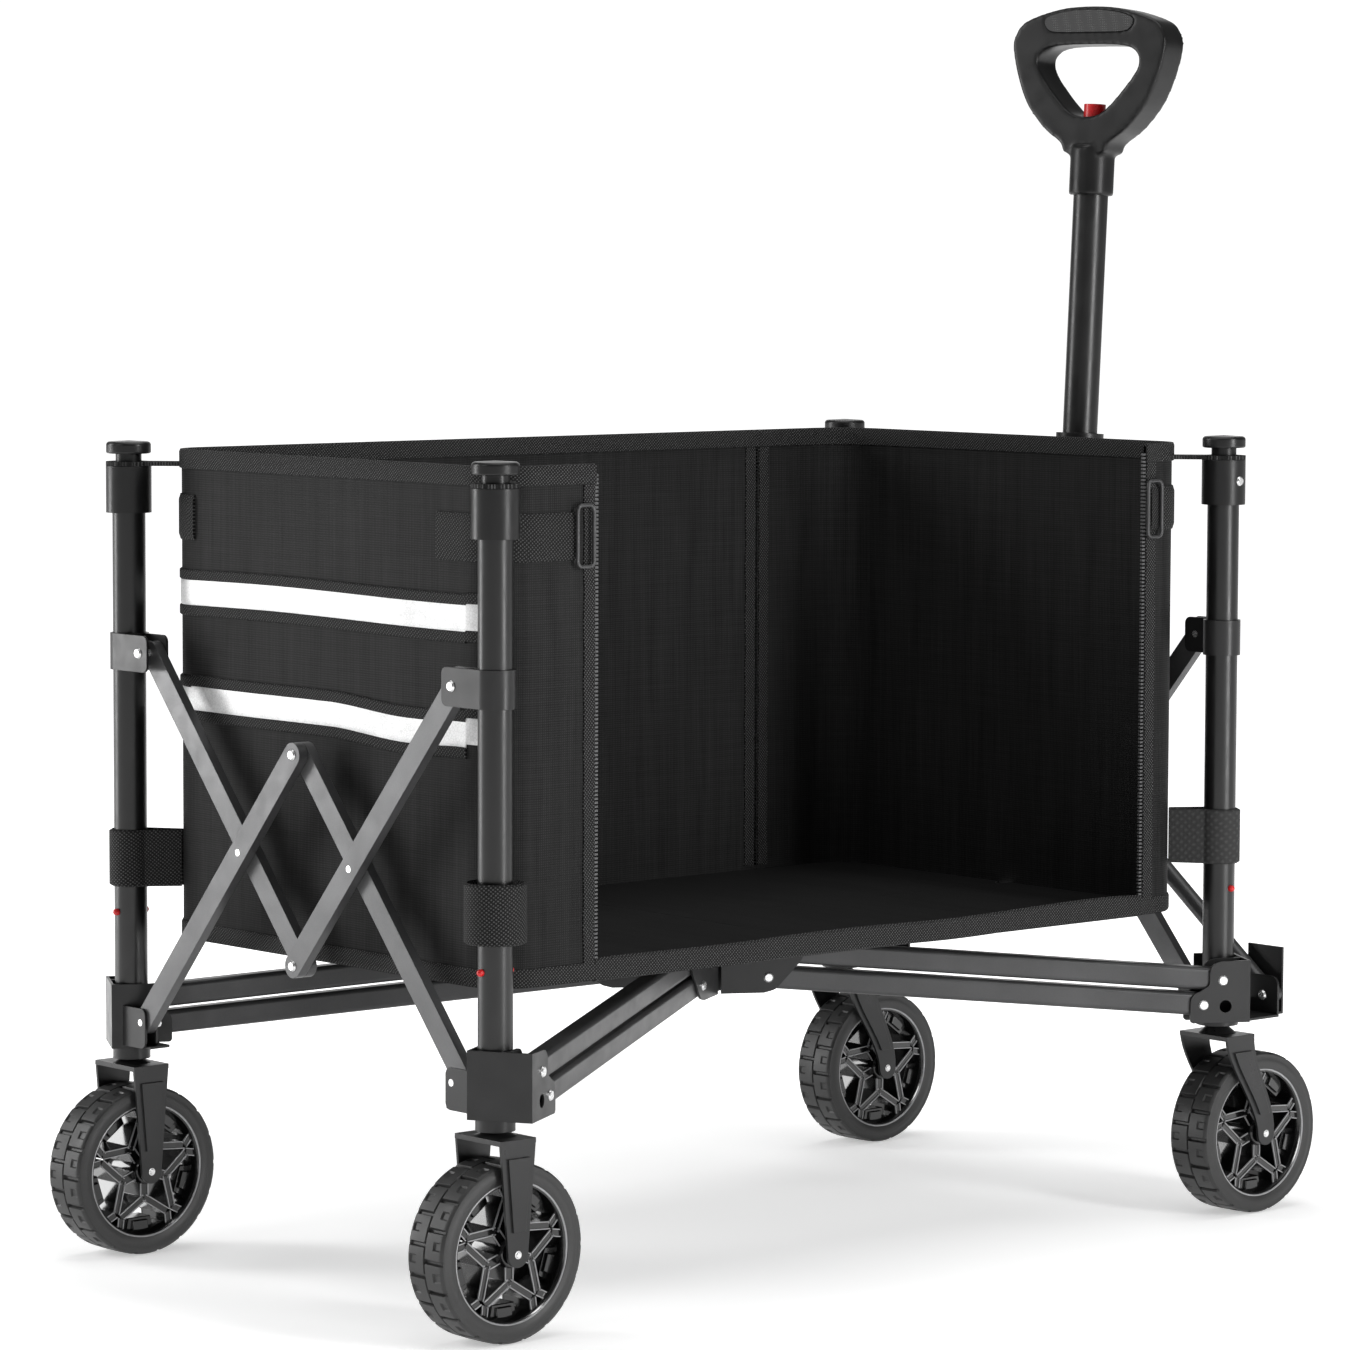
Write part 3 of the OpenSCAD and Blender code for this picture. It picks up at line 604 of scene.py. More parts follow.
TAPE_T, EDGING_T = 0.0012, 0.0021
UPPER_TAPE, UPPER_TOP, UPPER_BOTTOM = (0.5567, 0.5798), (0.5788, 0.5878), (0.5486, 0.5577)
LOWER_TAPE, LOWER_TOP, LOWER_BOTTOM = (0.4666, 0.4887), (0.4877, 0.4973), (0.4585, 0.4676)
CORNER_LIFT = 0.0005
wall_band("tape_upper", "rear", *UPPER_TAPE, TAPE_T, M_TAPE, shape=slight)
wall_band("tape_upper_top", "rear", *UPPER_TOP, EDGING_T, M_WEB, shape=slight)
wall_band("tape_upper_bottom", "rear", *UPPER_BOTTOM, EDGING_T, M_WEB, shape=slight)
wall_band("tape_lower", "rear", *LOWER_TAPE, TAPE_T, M_TAPE, shape=wavy)
wall_band("tape_lower_top", "rear", *LOWER_TOP, EDGING_T, M_WEB, shape=wavy)
wall_band("tape_lower_bottom", "rear", *LOWER_BOTTOM, EDGING_T, M_WEB, shape=wavy)
for key, a0, a1 in (("rear_right", 0.0, 0.16), ("rear_left", 0.62, 1.0)):
    for label, (z_lo, z_hi), lift, thick, mat in (
        ("tape_upper_", UPPER_TAPE, 0.0, TAPE_T, M_TAPE),
        ("tape_upper_top_", UPPER_TOP, 0.0, EDGING_T, M_WEB),
        ("tape_upper_bottom_", UPPER_BOTTOM, 0.0, EDGING_T, M_WEB),
        ("tape_lower_", LOWER_TAPE, CORNER_LIFT, TAPE_T, M_TAPE),
        ("tape_lower_top_", LOWER_TOP, CORNER_LIFT, EDGING_T, M_WEB),
    ):
        wall_band(label + key, key, z_lo + lift, z_hi + lift, thick, mat, a0=a0, a1=a1)

# ---- bed: strips on each base arm, which gather round the arm as it stands up

def clip(c, u_dir, v_dir, v):
    """Where the line at offset v from a post, along u_dir, lies over its quarter of the bed."""
    sx = 1 if c.x > HUB.x else -1
    sy = 1 if c.y > 0 else -1
    gap, reach, steps = 0.0008, 0.52, 1500
    xin = (X1 - WALL - gap) if sx > 0 else (X0 + WALL + gap)
    yin = (Y1 - WALL - gap) if sy > 0 else (Y0 + WALL + gap)
    r = CORNER_R - WALL - gap
    cx, cy = xin - sx * r, yin - sy * r
    lo, hi = None, None
    for i in range(steps + 1):
        u = i / steps * reach
        x = c.x + u_dir.x * u + v_dir.x * v
        y = c.y + u_dir.y * u + v_dir.y * v
        within = (xin - x) * sx >= 0 and (yin - y) * sy >= 0
        inside = within and (x - HUB.x) * sx >= 0 and y * sy >= 0
        if inside and (x - cx) * sx > 0 and (y - cy) * sy > 0:
            inside = math.hypot(x - cx, y - cy) <= r
        if inside:
            lo = u if lo is None else lo
            hi = u
    return lo, hi


def bed_height(x, y):
    """The low waves of the bed's cloth, which die out toward the walls."""
    edge = min(x - X0, X1 - x, y - Y0, Y1 - y)
    return (0.0014 * noise.noise(Vector((x * 7, y * 7, 3.0)))) * ease(edge / 0.05)


BED_CUTS = (-0.125, -0.072, -0.036, -0.012, 0.012, 0.036, 0.072, 0.125)
BED_THICK = 0.0036


def bed_quarter(tag):
    """The quarter of the bed at a post, cut into strips that run along its upper arm."""
    c = POST[tag]
    flat = Vector((HUB.x - c.x, -c.y, 0)).normalized()
    side = Vector((0, 0, 1)).cross(flat)
    vs = []
    for x, y in ((X0 if c.x < HUB.x else X1, 0), (HUB.x, Y0 if c.y < 0 else Y1)):
        vs.append((Vector((x, y, 0)) - Vector((c.x, c.y, 0))).dot(side))
    cuts = [min(vs) + 0.001, *BED_CUTS, max(vs) - 0.001]
    for k, (a, b) in enumerate(zip(cuts, cuts[1:])):
        # an even number over the arm, so that one line reaches the middle of the bed
        n_v = 4 if a < 0 < b else max(2, int(round((b - a) / 0.008)))
        n_u = 30
        verts, uvs, faces = [], [], []
        lines = [a + (b - a) * i / n_v for i in range(n_v + 1)]
        spans = [(v, clip(c, flat, side, v)) for v in lines]
        spans = [(v, span) for v, span in spans if span[0] is not None and span[1] > span[0]]
        lines, spans, n_v = [v for v, _ in spans], [span for _, span in spans], len(spans) - 1
        for layer in (0, 1):
            for v, (lo, hi) in zip(lines, spans):
                for j in range(n_u + 1):
                    u = lo + (hi - lo) * j / n_u
                    p = Vector((c.x, c.y, 0)) + flat * u + side * v
                    p.z = BED_TOP - BED_THICK * layer + bed_height(p.x, p.y)
                    verts.append(p)
                    uvs.append((p.x, p.y))
        w, size = n_u + 1, (n_v + 1) * (n_u + 1)
        for i in range(n_v):
            for j in range(n_u):
                q = (i * w + j, (i + 1) * w + j, (i + 1) * w + j + 1, i * w + j + 1)
                faces.append(q)
                faces.append(tuple(size + m for m in q[::-1]))
        for i in range(n_v):
            for j in (0, n_u):
                faces.append((i * w + j, (i + 1) * w + j, size + (i + 1) * w + j, size + i * w + j))
        for j in range(n_u):
            for i in (0, n_v):
                faces.append((i * w + j, i * w + j + 1, size + i * w + j + 1, size + i * w + j))
        ob = mesh_object(f"bed_{tag}_{k}", verts, faces, M_BED, uvs, True, 50)
        outward(ob)
        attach(ob, "upper_arm_" + tag)
        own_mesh(ob)
        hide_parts("tub")
        # the strip's flat size; one that covers little of its box is given as half of a box
        long = max(hi for _, hi in spans) - min(lo for lo, _ in spans)
        wide = lines[-1] - lines[0]
        widths = [((p[1] - p[0]) + (q[1] - q[0])) / 2 for p, q in zip(spans, spans[1:])]
        covered = sum(widths) * wide / n_v
        if covered < 0.32 * long * wide:
            long = covered / (0.5 * wide)


for tag in POST:
    bed_quarter(tag)


def bed_edge():
    """The bound edge of the bed across the open side."""
    steps = 60
    prof = [(0.0006, 0.0), (-0.0016, 0.001), (-0.0016, 0.017), (0.0002, 0.019), (0.0030, 0.018),
            (0.0030, 0.0)]
    m = len(prof)
    verts, uvs = [], []
    for i in range(steps + 1):
        x = NEAR_X0 + (NEAR_X1 - NEAR_X0) * i / steps
        window = ease((x - NEAR_X0) / 0.03) * ease((NEAR_X1 - x) / 0.03)
        sag = 0.0022 * noise.noise(Vector((x * 6, 0.3, 9.0))) * window
        run = 0.0
        for k, (dy, dz) in enumerate(prof):
            verts.append(Vector((x, Y0 + dy, Z0 - 0.001 + dz + (sag if 0 < k < m - 1 else 0))))
            if k:
                run += math.dist(prof[k], prof[k - 1])
            uvs.append((x, run))
    ob = mesh_object("bed_edge", verts, ring_faces(steps + 1, m, flip=True), M_BIND, uvs, True, 40)
    outward(ob)
    hang(ob, "near")


bed_edge()


# ---- zips: bound edges of the openings with coil teeth

def zip_edge(name, x, y, toward, body):
    """Tape and teeth along an upright edge of cloth; the teeth point toward +X or -X."""
    z0, z1 = BED_TOP + 0.004, Z1 - 0.003
    pitch, tooth, half_t = 0.0032, 0.0034, 0.0013
    verts, faces, uvs = [], [], []

    def block(x0, x1, y0, y1, za, zb):
        base = len(verts)
        for z in (za, zb):
            for p in ((x0, y0, z), (x1, y0, z), (x1, y1, z), (x0, y1, z)):
                verts.append(Vector(p))
                uvs.append((p[0] + p[1], p[2]))
        faces.extend(tuple(base + k for k in face) for face in ring_faces(2, 4))

    for i in range(int((z1 - z0) / pitch)):
        z = z0 + i * pitch
        block(x, x + toward * tooth, y - half_t, y + half_t, z, z + pitch * 0.55)
    ob = mesh_object(name + "_teeth", verts, faces, M_TEETH, uvs, False)
    outward(ob)
    hang(ob, body)
    for side, label in ((1, "out"), (-1, "in")):
        up = (0, side, 0)
        cx = x - toward * 0.0065
        yy = y + side * (WALL / 2 + 0.0002)
        pts = [(cx + 0.0004 * math.sin(k * 1.3), yy, z0 + (z1 - z0) * k / 40) for k in range(41)]
        strip = ribbon(f"{name}_tape_{label}", pts, [up] * 41, 0.012, 0.0010, M_BIND)
        hang(strip, body)


mid_near, mid_far = Y0 + WALL / 2, Y1 - WALL / 2
zip_edge("zip_rear_right", NEAR_X0, mid_near, 1, RR)
zip_edge("zip_front_right", NEAR_X1, mid_near, -1, FR)
zip_edge("zip_front_left", FAR_X1 + 0.0003, mid_far, -1, FL)
zip_edge("zip_rear_left", FAR_X0 - 0.0003, mid_far, 1, RL)
zip_edge("zip_panel_front", FAR_X1 - 0.0034, mid_far, 1, FL)
zip_edge("zip_panel_rear", FAR_X0 + 0.0034, mid_far, -1, RL)

# ---------------------------------------------------------------- straps, loops, tabs, rings

STRAP_LO, STRAP_HI = 0.6125, 0.6507
LOOP_LO, LOOP_HI = 0.3160, 0.3645


def ring(name, x, y, body):
    """A rounded rectangular wire ring that stands in the XZ plane at the straps' height."""
    half_w, half_h, radius = 0.0085, 0.0245, 0.0016
    centre = Vector((x, y, (STRAP_LO + STRAP_HI) / 2))
    pts = []
    r = min(half_w, half_h) * 0.55
    for qx, qz, a0 in ((1, 1, 0), (-1, 1, 90), (-1, -1, 180), (1, -1, 270)):
        for i in range(7):
            a = math.radians(a0 + 90 * i / 6)
            w = qx * (half_w - r) + r * math.cos(a)
            h = qz * (half_h - r) + r * math.sin(a)
            pts.append(centre + Vector((w, 0, h)))
    dense = []
    for a, b in zip(pts, pts[1:] + pts[:1]):
        steps = max(1, int((b - a).length / 0.003))
        dense += [a.lerp(b, k / steps) for k in range(steps)]
    ob = wire(name, dense, radius, M_WIRE)
    hang(ob, body)


def wall_strap(name, reach):
    """A webbing strap sewn along one or more walls: reach is [(key, a0, a1), ...]."""
    for key, a0, a1 in reach:
        wall_band(f"{name}_{key}", key, STRAP_LO, STRAP_HI, 0.0026, M_WEB, a0=a0, a1=a1)


wall_strap("strap_rear_right", [("rear", 0.9, 1.0), ("rear_right", 0.0, 0.86)])
wall_strap("strap_rear_left", [("rear", 0.0, 0.02), ("rear_left", 0.2, 1.0)])
wall_strap("strap_front_right", [("front_right", 0.12, 1.0), ("front", 0.0, 0.06)])
wall_strap("strap_front_left", [("front", 0.94, 1.0), ("front_left", 0.0, 0.7)])
ring("ring_rear_right", NEAR_X0 - 0.014, Y0 - 0.0052, RR)
ring("ring_front_right", NEAR_X1 + 0.007, Y0 - 0.0052, FR)
ring("ring_rear_left", FAR_X0 - 0.028, Y1 + 0.0052, RL)
ring("ring_front_left", FAR_X1 + 0.028, Y1 + 0.0052, FL)


def corner_axes(tag):
    """A post's middle, the level direction from it into the tub, and the one across that."""
    c = POST[tag]
    inward = Vector((-1 if c.x > HUB.x else 1, -1 if c.y > 0 else 1, 0)).normalized()
    return c, inward, Vector((0, 0, 1)).cross(inward)


def loop(tag, body, mat, r=0.0158):
    """Webbing round a post, with its two tails sewn to the tub's corner."""
    c, inward, across = corner_axes(tag)
    start, reach = math.radians(38), 0.0445
    pts, ups = [], []

    def add(p, up):
        pts.append(Vector((p.x, p.y, (LOOP_LO + LOOP_HI) / 2)))
        ups.append(up)

    def tail(f, out):
        """A point of one tail, from the post (f = 0) to the tub (f = 1)."""
        root = r * math.cos(start)
        off = r * math.sin(start) * (1 - 0.6 * f)
        add(c + inward * (root + (reach - root) * f) + out * off, out)

    for i in range(8):
        tail(1 - i / 8, across)
    for i in range(31):
        a = start + (2 * math.pi - 2 * start) * i / 30
        n = inward * math.cos(a) + across * math.sin(a)
        add(c + n * r, n)
    for i in range(1, 9):
        tail(i / 8, -across)
    ob = ribbon(f"loop_{tag}", pts, ups, LOOP_HI - LOOP_LO, 0.0024, mat)
    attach(ob, body)


for tag, body in CORNERS.items():
    # the loop at the front right post takes the webbing with the painted sheen
    loop(tag, body, M_WEB_SHEEN if body == FR else M_WEB, 0.0225 if body == RR else 0.0158)


def tab(tag, body):
    """The flat tab from the tub's corner to the cap, held under the knob."""
    c, inward, across = corner_axes(tag)
    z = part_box("cap_" + tag)[1].z - 0.0212
    r, hole, half, reach, thick = 0.0193, 0.0113, 0.012, 0.0475, 0.0034
    a0 = math.asin(half / r)
    outline = []
    for i in range(25):
        a = a0 + (2 * math.pi - 2 * a0) * i / 24
        outline.append(c + inward * (r * math.cos(a)) + across * (r * math.sin(a)))
    outline.append(c + inward * reach - across * half)
    outline.append(c + inward * reach + across * half)
    inner = []
    for p in outline:
        inner.append(c + Vector((p.x - c.x, p.y - c.y, 0)).normalized() * hole)
    verts, faces, uvs = [], [], []
    n = len(outline)
    for dz in (0.0, thick):
        for edge in (outline, inner):
            for p in edge:
                verts.append(Vector((p.x, p.y, z + dz)))
                uvs.append((p.x, p.y))
    for i in range(n):
        j = (i + 1) % n
        faces.append((i, j, n + j, n + i))
        faces.append((2 * n + i, 3 * n + i, 3 * n + j, 2 * n + j))
        faces.append((i, 2 * n + i, 2 * n + j, j))
        faces.append((n + i, n + j, 3 * n + j, 3 * n + i))
    ob = mesh_object(f"tab_{tag}", verts, faces, M_WEB, uvs, False)
    outward(ob)
    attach(ob, body)


for tag, body in CORNERS.items():
    tab(tag, body)

# ---------------------------------------------------------------- wheels

def revolve(name, profile, steps, mat, centre, angle):
    """profile is [(radius, y), ...], a closed loop, turned about the Y axis at centre."""
    verts, uvs = [], []
    for i in range(steps):
        a = 2 * math.pi * i / steps
        for r, y in profile:
            verts.append(centre + Vector((r * math.cos(a), y, r * math.sin(a))))
            uvs.append((a * 0.06, y))
    faces = ring_faces(steps, len(profile), closed=True)
    ob = mesh_object(name, verts, faces, mat, uvs, True, angle)
    outward(ob)
    ob.data.set_sharp_from_angle(angle=math.radians(angle))
    return ob


TYRE_R = 0.0724
BEAD_R = 0.0572
TREAD_ROWS = 18
GROOVE = 0.045   # half the width of a cross groove, as a part of one row


def phase(a, side):
    """How far along its tread row angle a (turns) is; the two sides are half a row apart."""
    return (a * TREAD_ROWS + (0.5 if side > 0 else 0.0)) % 1.0


def in_groove(f):
    return f < GROOVE or f > 1 - GROOVE


def tread(a, y, half):
    """Depth in metres of the tread pattern at angle a (turns) and side offset y."""
    d = 0.0
    for sign in (-1, 1):
        yy = y * sign
        if yy < 0:
            continue
        f = phase(a, sign)
        if in_groove(f):
            d = max(d, 0.0030)
        # a sunk square near the shoulder
        if half * 0.48 < yy < half * 0.82 and 0.36 < f < 0.60:
            d += 0.0013
    if abs(y) < 0.0008:
        d = max(d, 0.0022)
    return d


def tyre(tag, c, half):
    """The tyre's skin from one bead to the other, with the tread cut into it."""
    turns, n_mid = 432, 34
    skin = []
    for t in (0.0, 0.25, 0.5, 0.75, 1.0):
        skin.append((BEAD_R + t * 0.0110, -half + 0.0014 - 0.0012 * math.sin(math.pi * t)))
    for t in (0.2, 0.5, 0.8, 1.0):
        a = math.radians(-80 + 80 * t)
        skin.append((0.0686 + 0.0034 * math.cos(a), -half + 0.0040 + 0.0034 * math.sin(a)))
    y_a = skin[-1][1]
    mid = []
    for i in range(1, n_mid):
        y = y_a + (-2 * y_a) * i / n_mid
        mid.append((TYRE_R - 0.0001 - 0.0004 * (y / half) ** 2, y))
    profile = skin + mid + [(r, -y) for r, y in reversed(skin)]
    first, last = len(skin) - 1, len(skin) + len(mid)
    shoulder = (first - 1, last + 1, first - 2, last + 2)
    verts, uvs = [], []
    for i in range(turns):
        a = i / turns
        ca, sa = math.cos(2 * math.pi * a), math.sin(2 * math.pi * a)
        ring_pts = []
        for k, (r, y) in enumerate(profile):
            if first <= k <= last:
                r -= tread(a, y, half)
            elif k in shoulder and in_groove(phase(a, y)):
                r -= 0.0016
            ring_pts.append((r, y))
        for r, y in ring_pts + [(BEAD_R, half - 0.004), (BEAD_R, -half + 0.004)]:
            verts.append(c + Vector((r * ca, y, r * sa)))
            uvs.append((a * 0.44, y))
    faces = ring_faces(turns, len(profile) + 2, closed=True, flip=True)
    ob = mesh_object(f"tyre_{tag}", verts, faces, M_RUBBER, uvs, True)
    outward(ob)
    ob.data.set_sharp_from_angle(angle=math.radians(38))
    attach(ob, "wheel_" + tag)
    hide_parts("wheel_" + tag)


def both_sides(half_profile):
    """A section given for y > 0, closed by its mirror image."""
    return half_profile + [(r, -y) for r, y in reversed(half_profile)]


RIM_BAND = both_sides([(0.0571, 0.0195), (0.0560, 0.0202), (0.0545, 0.0195), (0.0530, 0.0165),
                       (0.0518, 0.0120)])
RIM_LIP = [(0.0573, 0.0196), (0.0573, 0.0208), (0.0562, 0.0209), (0.0556, 0.0203), (0.0558, 0.0196)]
RIM_HUB = both_sides([(0.0125, 0.0120), (0.0118, 0.0190), (0.0105, 0.0212), (0.0085, 0.0220),
                      (0.0041, 0.0215)])


def polar(r, deg):
    a = math.radians(deg)
    return (r * math.cos(a), r * math.sin(a))


def beside(p, q, k):
    """The segment from p to q moved sideways by k."""
    dx, dz = q[0] - p[0], q[1] - p[1]
    d = math.hypot(dx, dz)
    return ((p[0] - dz / d * k, p[1] + dx / d * k), (q[0] - dz / d * k, q[1] + dx / d * k))


def spokes(tag, c):
    """Five Y spokes: a deep rib that forks, with bright raised edges and a block in the fork."""
    verts, faces, uvs, mats = [], [], [], []
    plain, bright = 0, 1

    def prism(outline, y0, y1, mat_i, chamfer):
        base = len(verts)
        n = len(outline)
        cx = sum(p[0] for p in outline) / n
        cz = sum(p[1] for p in outline) / n
        layers = [(y0, 0), (y1, 0)]
        if chamfer:
            layers = [(y0, chamfer), (y0 + chamfer, 0.0), (y1 - chamfer, 0.0), (y1, chamfer)]
        for y, inset in layers:
            for x, z in outline:
                d = math.hypot(x - cx, z - cz) or 1.0
                k = 1 - inset / d
                verts.append(c + Vector((cx + (x - cx) * k, y, cz + (z - cz) * k)))
                uvs.append((x, z))
        sides = ring_faces(len(layers), n, flip=True)
        faces.extend(tuple(base + v for v in face) for face in sides)
        mats.extend([mat_i] * len(sides))

    def bar(p, q, w0, w1, y0, y1, mat_i=plain, chamfer=0.0):
        start = [beside(p, q, side * w0 / 2)[0] for side in (1, -1)]
        end = [beside(p, q, side * w1 / 2)[1] for side in (-1, 1)]
        prism(start + end, y0, y1, mat_i, chamfer)

    deep, edge_w = 0.0165, 0.0009
    for i in range(5):
        deg = 270 + 72 * i
        root, fork = polar(0.010, deg), polar(0.0236, deg)
        bar(root, fork, 0.0095, 0.0078, -deep, deep, chamfer=0.0008)
        edges = [(root, fork, 0.0038)]
        for d in (-1, 1):
            bend, tip = polar(0.0455, deg + 32 * d), polar(0.0540, deg + 28 * d)
            bar(fork, bend, 0.0066, 0.0058, -deep, deep, chamfer=0.0008)
            bar(bend, tip, 0.0058, 0.0066, -deep, deep, chamfer=0.0008)
            edges += [(fork, bend, 0.0028), (bend, tip, 0.0028)]
        for p, q, off in edges:
            for y0, y1 in ((-0.0175, -0.0163), (0.0163, 0.0175)):
                for side in (-1, 1):
                    bar(*beside(p, q, side * off), edge_w, edge_w, y0, y1, bright)
        # the block that stands in the fork of the Y, against the rim
        bar(polar(0.0415, deg), polar(0.0525, deg), 0.0240, 0.0290, -0.0095, 0.0095, chamfer=0.0012)
        bar(polar(0.0440, deg), polar(0.0525, deg), 0.0150, 0.0170, -0.0120, 0.0120, chamfer=0.0010)
    ob = mesh_object(f"spokes_{tag}", verts, faces, M_RIM, uvs, False)
    ob.data.materials.append(M_EDGE)
    for p, m_i in zip(ob.data.polygons, mats):
        p.material_index = m_i
    outward(ob)
    return ob


def wheel(tag):
    lo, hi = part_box("wheel_" + tag)
    c = (lo + hi) / 2
    tyre(tag, c, (hi.y - lo.y) / 2)
    pieces = [revolve(f"rim_{tag}", RIM_BAND, 144, M_RIM, c, 30)]
    for label, s in (("out", -1), ("in", 1)):
        lip = [(r, y * s) for r, y in RIM_LIP]
        pieces.append(revolve(f"lip_{tag}_{label}", lip, 144, M_EDGE, c, 40))
    pieces.append(revolve(f"rimhub_{tag}", RIM_HUB, 64, M_RIM, c, 35))
    pieces.append(spokes(tag, c))
    for ob in pieces:
        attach(ob, "wheel_" + tag)


for tag in POST:
    wheel(tag)

# ---------------------------------------------------------------- grip

def rounded_copy(name, node, voxel, rounds, mat):
    """A copy of a CAD node's mesh with its edges melted round."""
    src = NODES[node]
    me = src.data.copy()
    ob = bpy.data.objects.new(name, me)
    bpy.context.scene.collection.objects.link(ob)
    me.materials.clear()
    me.materials.append(mat)
    re = ob.modifiers.new("remesh", "REMESH")
    re.mode = "VOXEL"
    re.voxel_size = voxel
    sm = ob.modifiers.new("smooth", "SMOOTH")
    sm.iterations = rounds
    sm.factor = 0.5
    deps = bpy.context.evaluated_depsgraph_get()
    done = bpy.data.meshes.new_from_object(ob.evaluated_get(deps))
    ob.modifiers.clear()
    ob.data = done
    ob.data.materials.clear()
    ob.data.materials.append(mat)
    for p in ob.data.polygons:
        p.use_smooth = True
        p.material_index = 0
    return ob


grip = rounded_copy("grip_body", "grip", 0.0014, 14, M_GRIP)
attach(grip, "grip")
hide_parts("grip")

# ---------------------------------------------------------------- CAD nodes that stay: materials

def islands(me):
    """Lists of the faces of each separate solid in a mesh."""
    parent = list(range(len(me.vertices)))

    def find(a):
        while parent[a] != a:
            parent[a] = parent[parent[a]]
            a = parent[a]
        return a

    # join vertices that share a place as well as those that share an edge
    seen = {}
    for v in me.vertices:
        key = (round(v.co.x, 6), round(v.co.y, 6), round(v.co.z, 6))
        if key in seen:
            parent[find(v.index)] = find(seen[key])
        else:
            seen[key] = v.index
    for e in me.edges:
        parent[find(e.vertices[0])] = find(e.vertices[1])
    groups = {}
    for p in me.polygons:
        groups.setdefault(find(p.vertices[0]), []).append(p.index)
    return list(groups.values())


def paint(node, main, small=None, limit=0.02):
    """Gives a node its material, and the solids in it that are under limit in two directions
    another one."""
    me = NODES[node].data
    me.materials.clear()
    me.materials.append(main)
    if not small:
        return
    me.materials.append(small)
    for faces in islands(me):
        cos = [me.vertices[vi].co for f in faces for vi in me.polygons[f].vertices]
        size = sorted(max(co[k] for co in cos) - min(co[k] for co in cos) for k in range(3))
        for f in faces:
            me.polygons[f].material_index = 1 if size[1] < limit else 0


for tag in POST:
    paint("post_" + tag, M_TUBE)
    paint("cap_" + tag, M_CAP, M_STEEL, 0.012)
    paint("bracket_" + tag, M_SHEET, M_STEEL, 0.0225)
    paint("collar_" + tag, M_SHEET, M_STEEL, 0.016)
    paint("fork_" + tag, M_FORK, M_STEEL, 0.020)
    paint("upper_arm_" + tag, M_ARM)
    paint("lower_arm_" + tag, M_ARM)
    paint("rising_brace_" + tag, M_BAR, M_STEEL, 0.016)
    paint("falling_brace_" + tag, M_BAR, M_STEEL, 0.016)
    paint("outer_button_" + tag, M_RED)
    paint("inner_button_" + tag, M_RED)
paint("handle_strut_right", M_ARM)
paint("handle_strut_left", M_ARM)
paint("hub", M_SHEET, M_STEEL, 0.0225)
paint("handle_base", M_SHEET, M_STEEL, 0.020)
paint("handle_outer_tube", M_TUBE)
paint("handle_collar", M_CAP)
paint("handle_inner_tube", M_TUBE)
paint("grip_pad", M_PAD)
paint("grip_button", M_RED)

# ---------------------------------------------------------------- floor, light, camera

def floor():
    g = Graph("studio_floor")
    v = g.place()
    n = g.noise(v, 2.0, 4.0, 0.5)
    g.link(g.ramp(n, [(0.3, grey(0.90)), (0.7, grey(0.93))]), g.bsdf.inputs["Base Color"])
    g.set(Roughness=0.8, Specular_IOR_Level=0.1)
    # painted light: the floor glows at 0.42 within 0.55 m of the scene's middle, rising to full
    # strength at 1.5 m, so that it fades into the white backdrop
    away = g.add("ShaderNodeVectorMath", operation="LENGTH")
    g.link(g.coord.outputs["Object"], away.inputs[0])
    g.link(g.remap(away.outputs["Value"], 0.55, 1.5, 0.42, 1.0), g.bsdf.inputs["Emission Strength"])
    g.set(Emission_Color=(1, 1, 1, 1))
    g.bump(g.noise(v, 300.0, 2.0), 0.05, 0.0003)
    half = 14.0
    corners = [(-half, -half, 0), (half, -half, 0), (half, half, 0), (-half, half, 0)]
    mesh_object("floor", corners, [(0, 1, 2, 3)], g.mat)


floor()

# the camera: where it stands and which way it looks
heading, pitch, roll = math.radians(41.536), math.radians(4.828), math.radians(0.184)
LENS = 142.98
EYE = Vector((HUB.x - 3.0794, -3.4611, 0.8804))
forward_flat = Vector((math.sin(heading), math.cos(heading), 0))


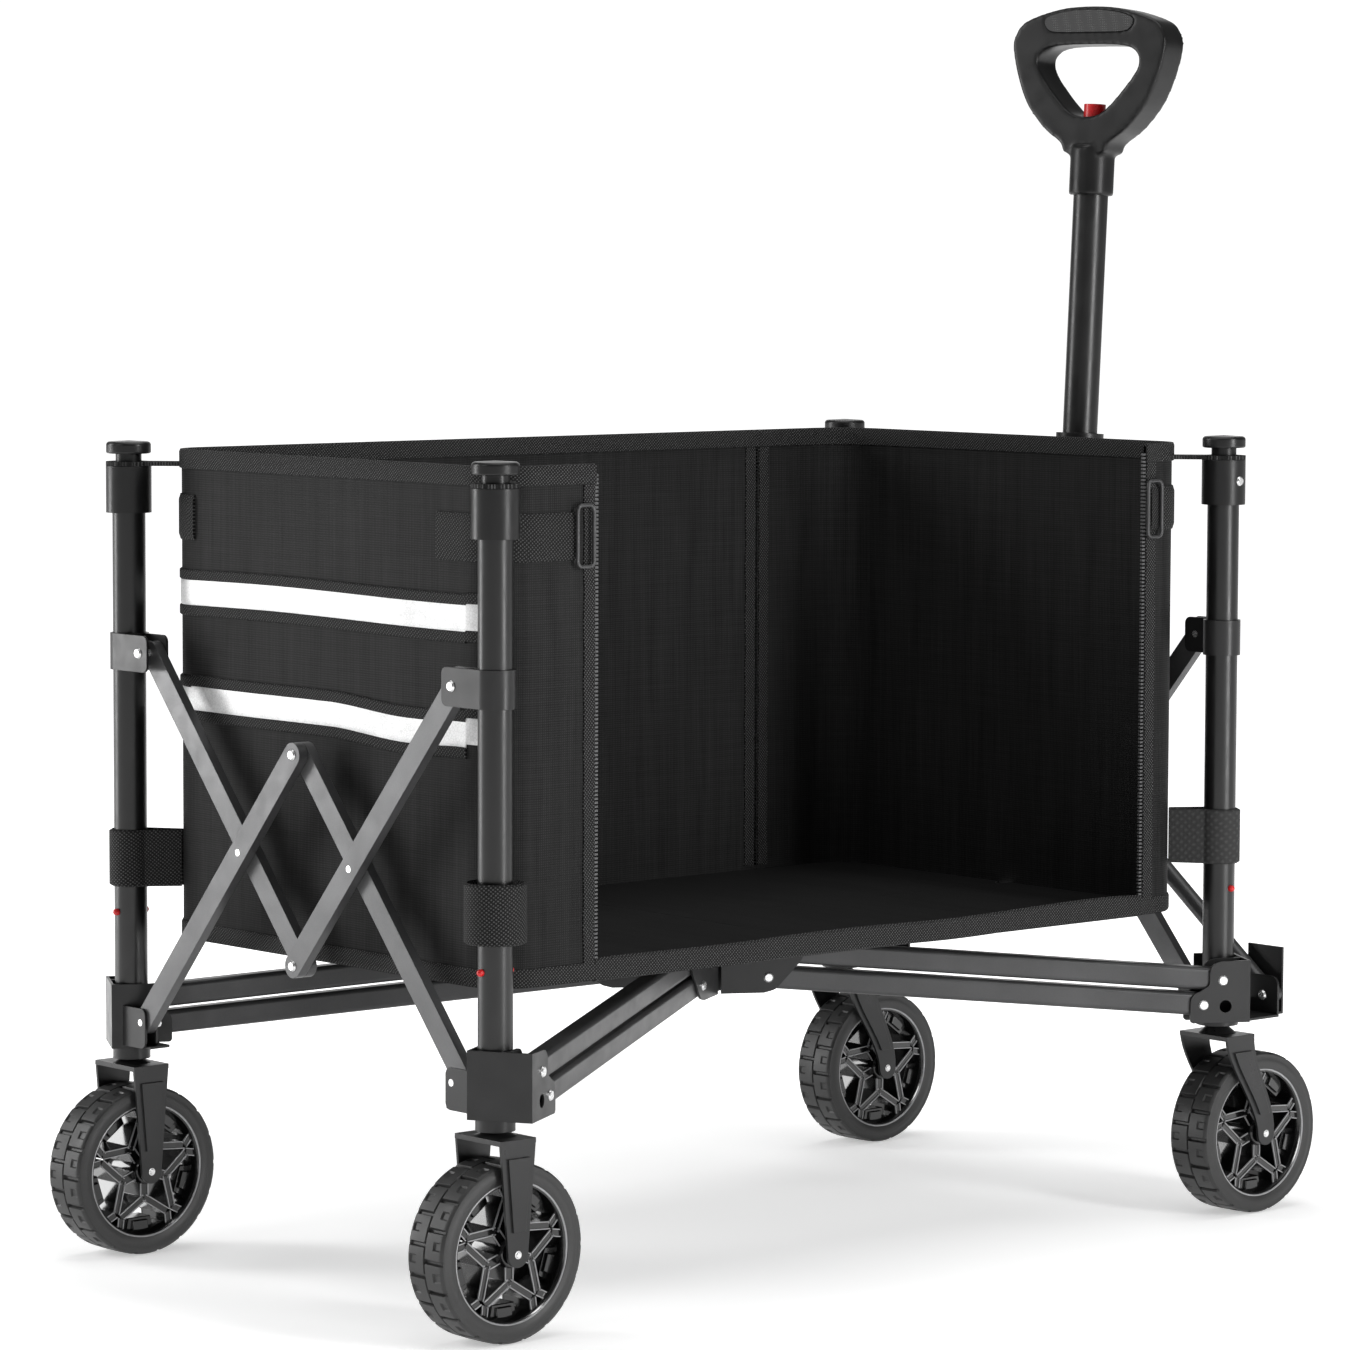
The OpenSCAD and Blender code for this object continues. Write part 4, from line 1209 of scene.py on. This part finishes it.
def backdrop():
    """A white wall of light on the far side of the wagon and a dim room elsewhere."""
    world = bpy.data.worlds.new("studio")
    bpy.context.scene.world = world
    world.use_nodes = True
    tree = world.node_tree
    coord = tree.nodes.new("ShaderNodeTexCoord")
    dot = tree.nodes.new("ShaderNodeVectorMath")
    dot.operation = "DOT_PRODUCT"
    dot.inputs[1].default_value = tuple(forward_flat)
    tree.links.new(coord.outputs["Generated"], dot.inputs[0])
    ramp = tree.nodes.new("ShaderNodeMapRange")
    for k, x in (("From Min", 0.86), ("From Max", 0.95), ("To Min", 0.13), ("To Max", 1.08)):
        ramp.inputs[k].default_value = x
    tree.links.new(dot.outputs["Value"], ramp.inputs["Value"])
    tree.links.new(ramp.outputs["Result"], tree.nodes["Background"].inputs["Strength"])
    tree.nodes["Background"].inputs["Color"].default_value = (1, 1, 1, 1)


backdrop()


def area(name, at, look, size, power):
    data = bpy.data.lights.new(name, "AREA")
    data.shape = "RECTANGLE"
    data.size, data.size_y = size
    data.energy = power
    ob = bpy.data.objects.new(name, data)
    bpy.context.scene.collection.objects.link(ob)
    ob.location = at
    ob.rotation_euler = (Vector(look) - Vector(at)).to_track_quat("-Z", "Y").to_euler()


area("stripe", (0.55, -3.2, 1.0), (0, 0, 0.5), (0.55, 2.6), 75)
area("edge", (-2.1, 2.6, 1.2), (-0.2, 0, 0.5), (0.9, 2.6), 60)
area("end", (-3.4, 0.3, 2.4), (0, 0, 0.5), (0.8, 0.8), 14)
area("top", (0.2, 0.0, 3.4), (0, 0, 0.2), (3.0, 3.0), 60)

cam_data = bpy.data.cameras.new("camera")
cam = bpy.data.objects.new("camera", cam_data)
bpy.context.scene.collection.objects.link(cam)
cam_data.sensor_width = 36.0
cam_data.lens = LENS
forward = forward_flat * math.cos(pitch) - Vector((0, 0, 1)) * math.sin(pitch)
right = forward.cross(Vector((0, 0, 1))).normalized()
up = right.cross(forward)
cam_x = right * math.cos(roll) + up * math.sin(roll)
cam_y = up * math.cos(roll) - right * math.sin(roll)
basis = Matrix((cam_x, cam_y, -forward)).transposed().to_4x4()
basis.translation = EYE
cam.matrix_world = basis
bpy.context.scene.camera = cam

view = bpy.context.scene.view_settings
view.view_transform = "Standard"
view.look = "None"
bpy.context.view_layer.update()
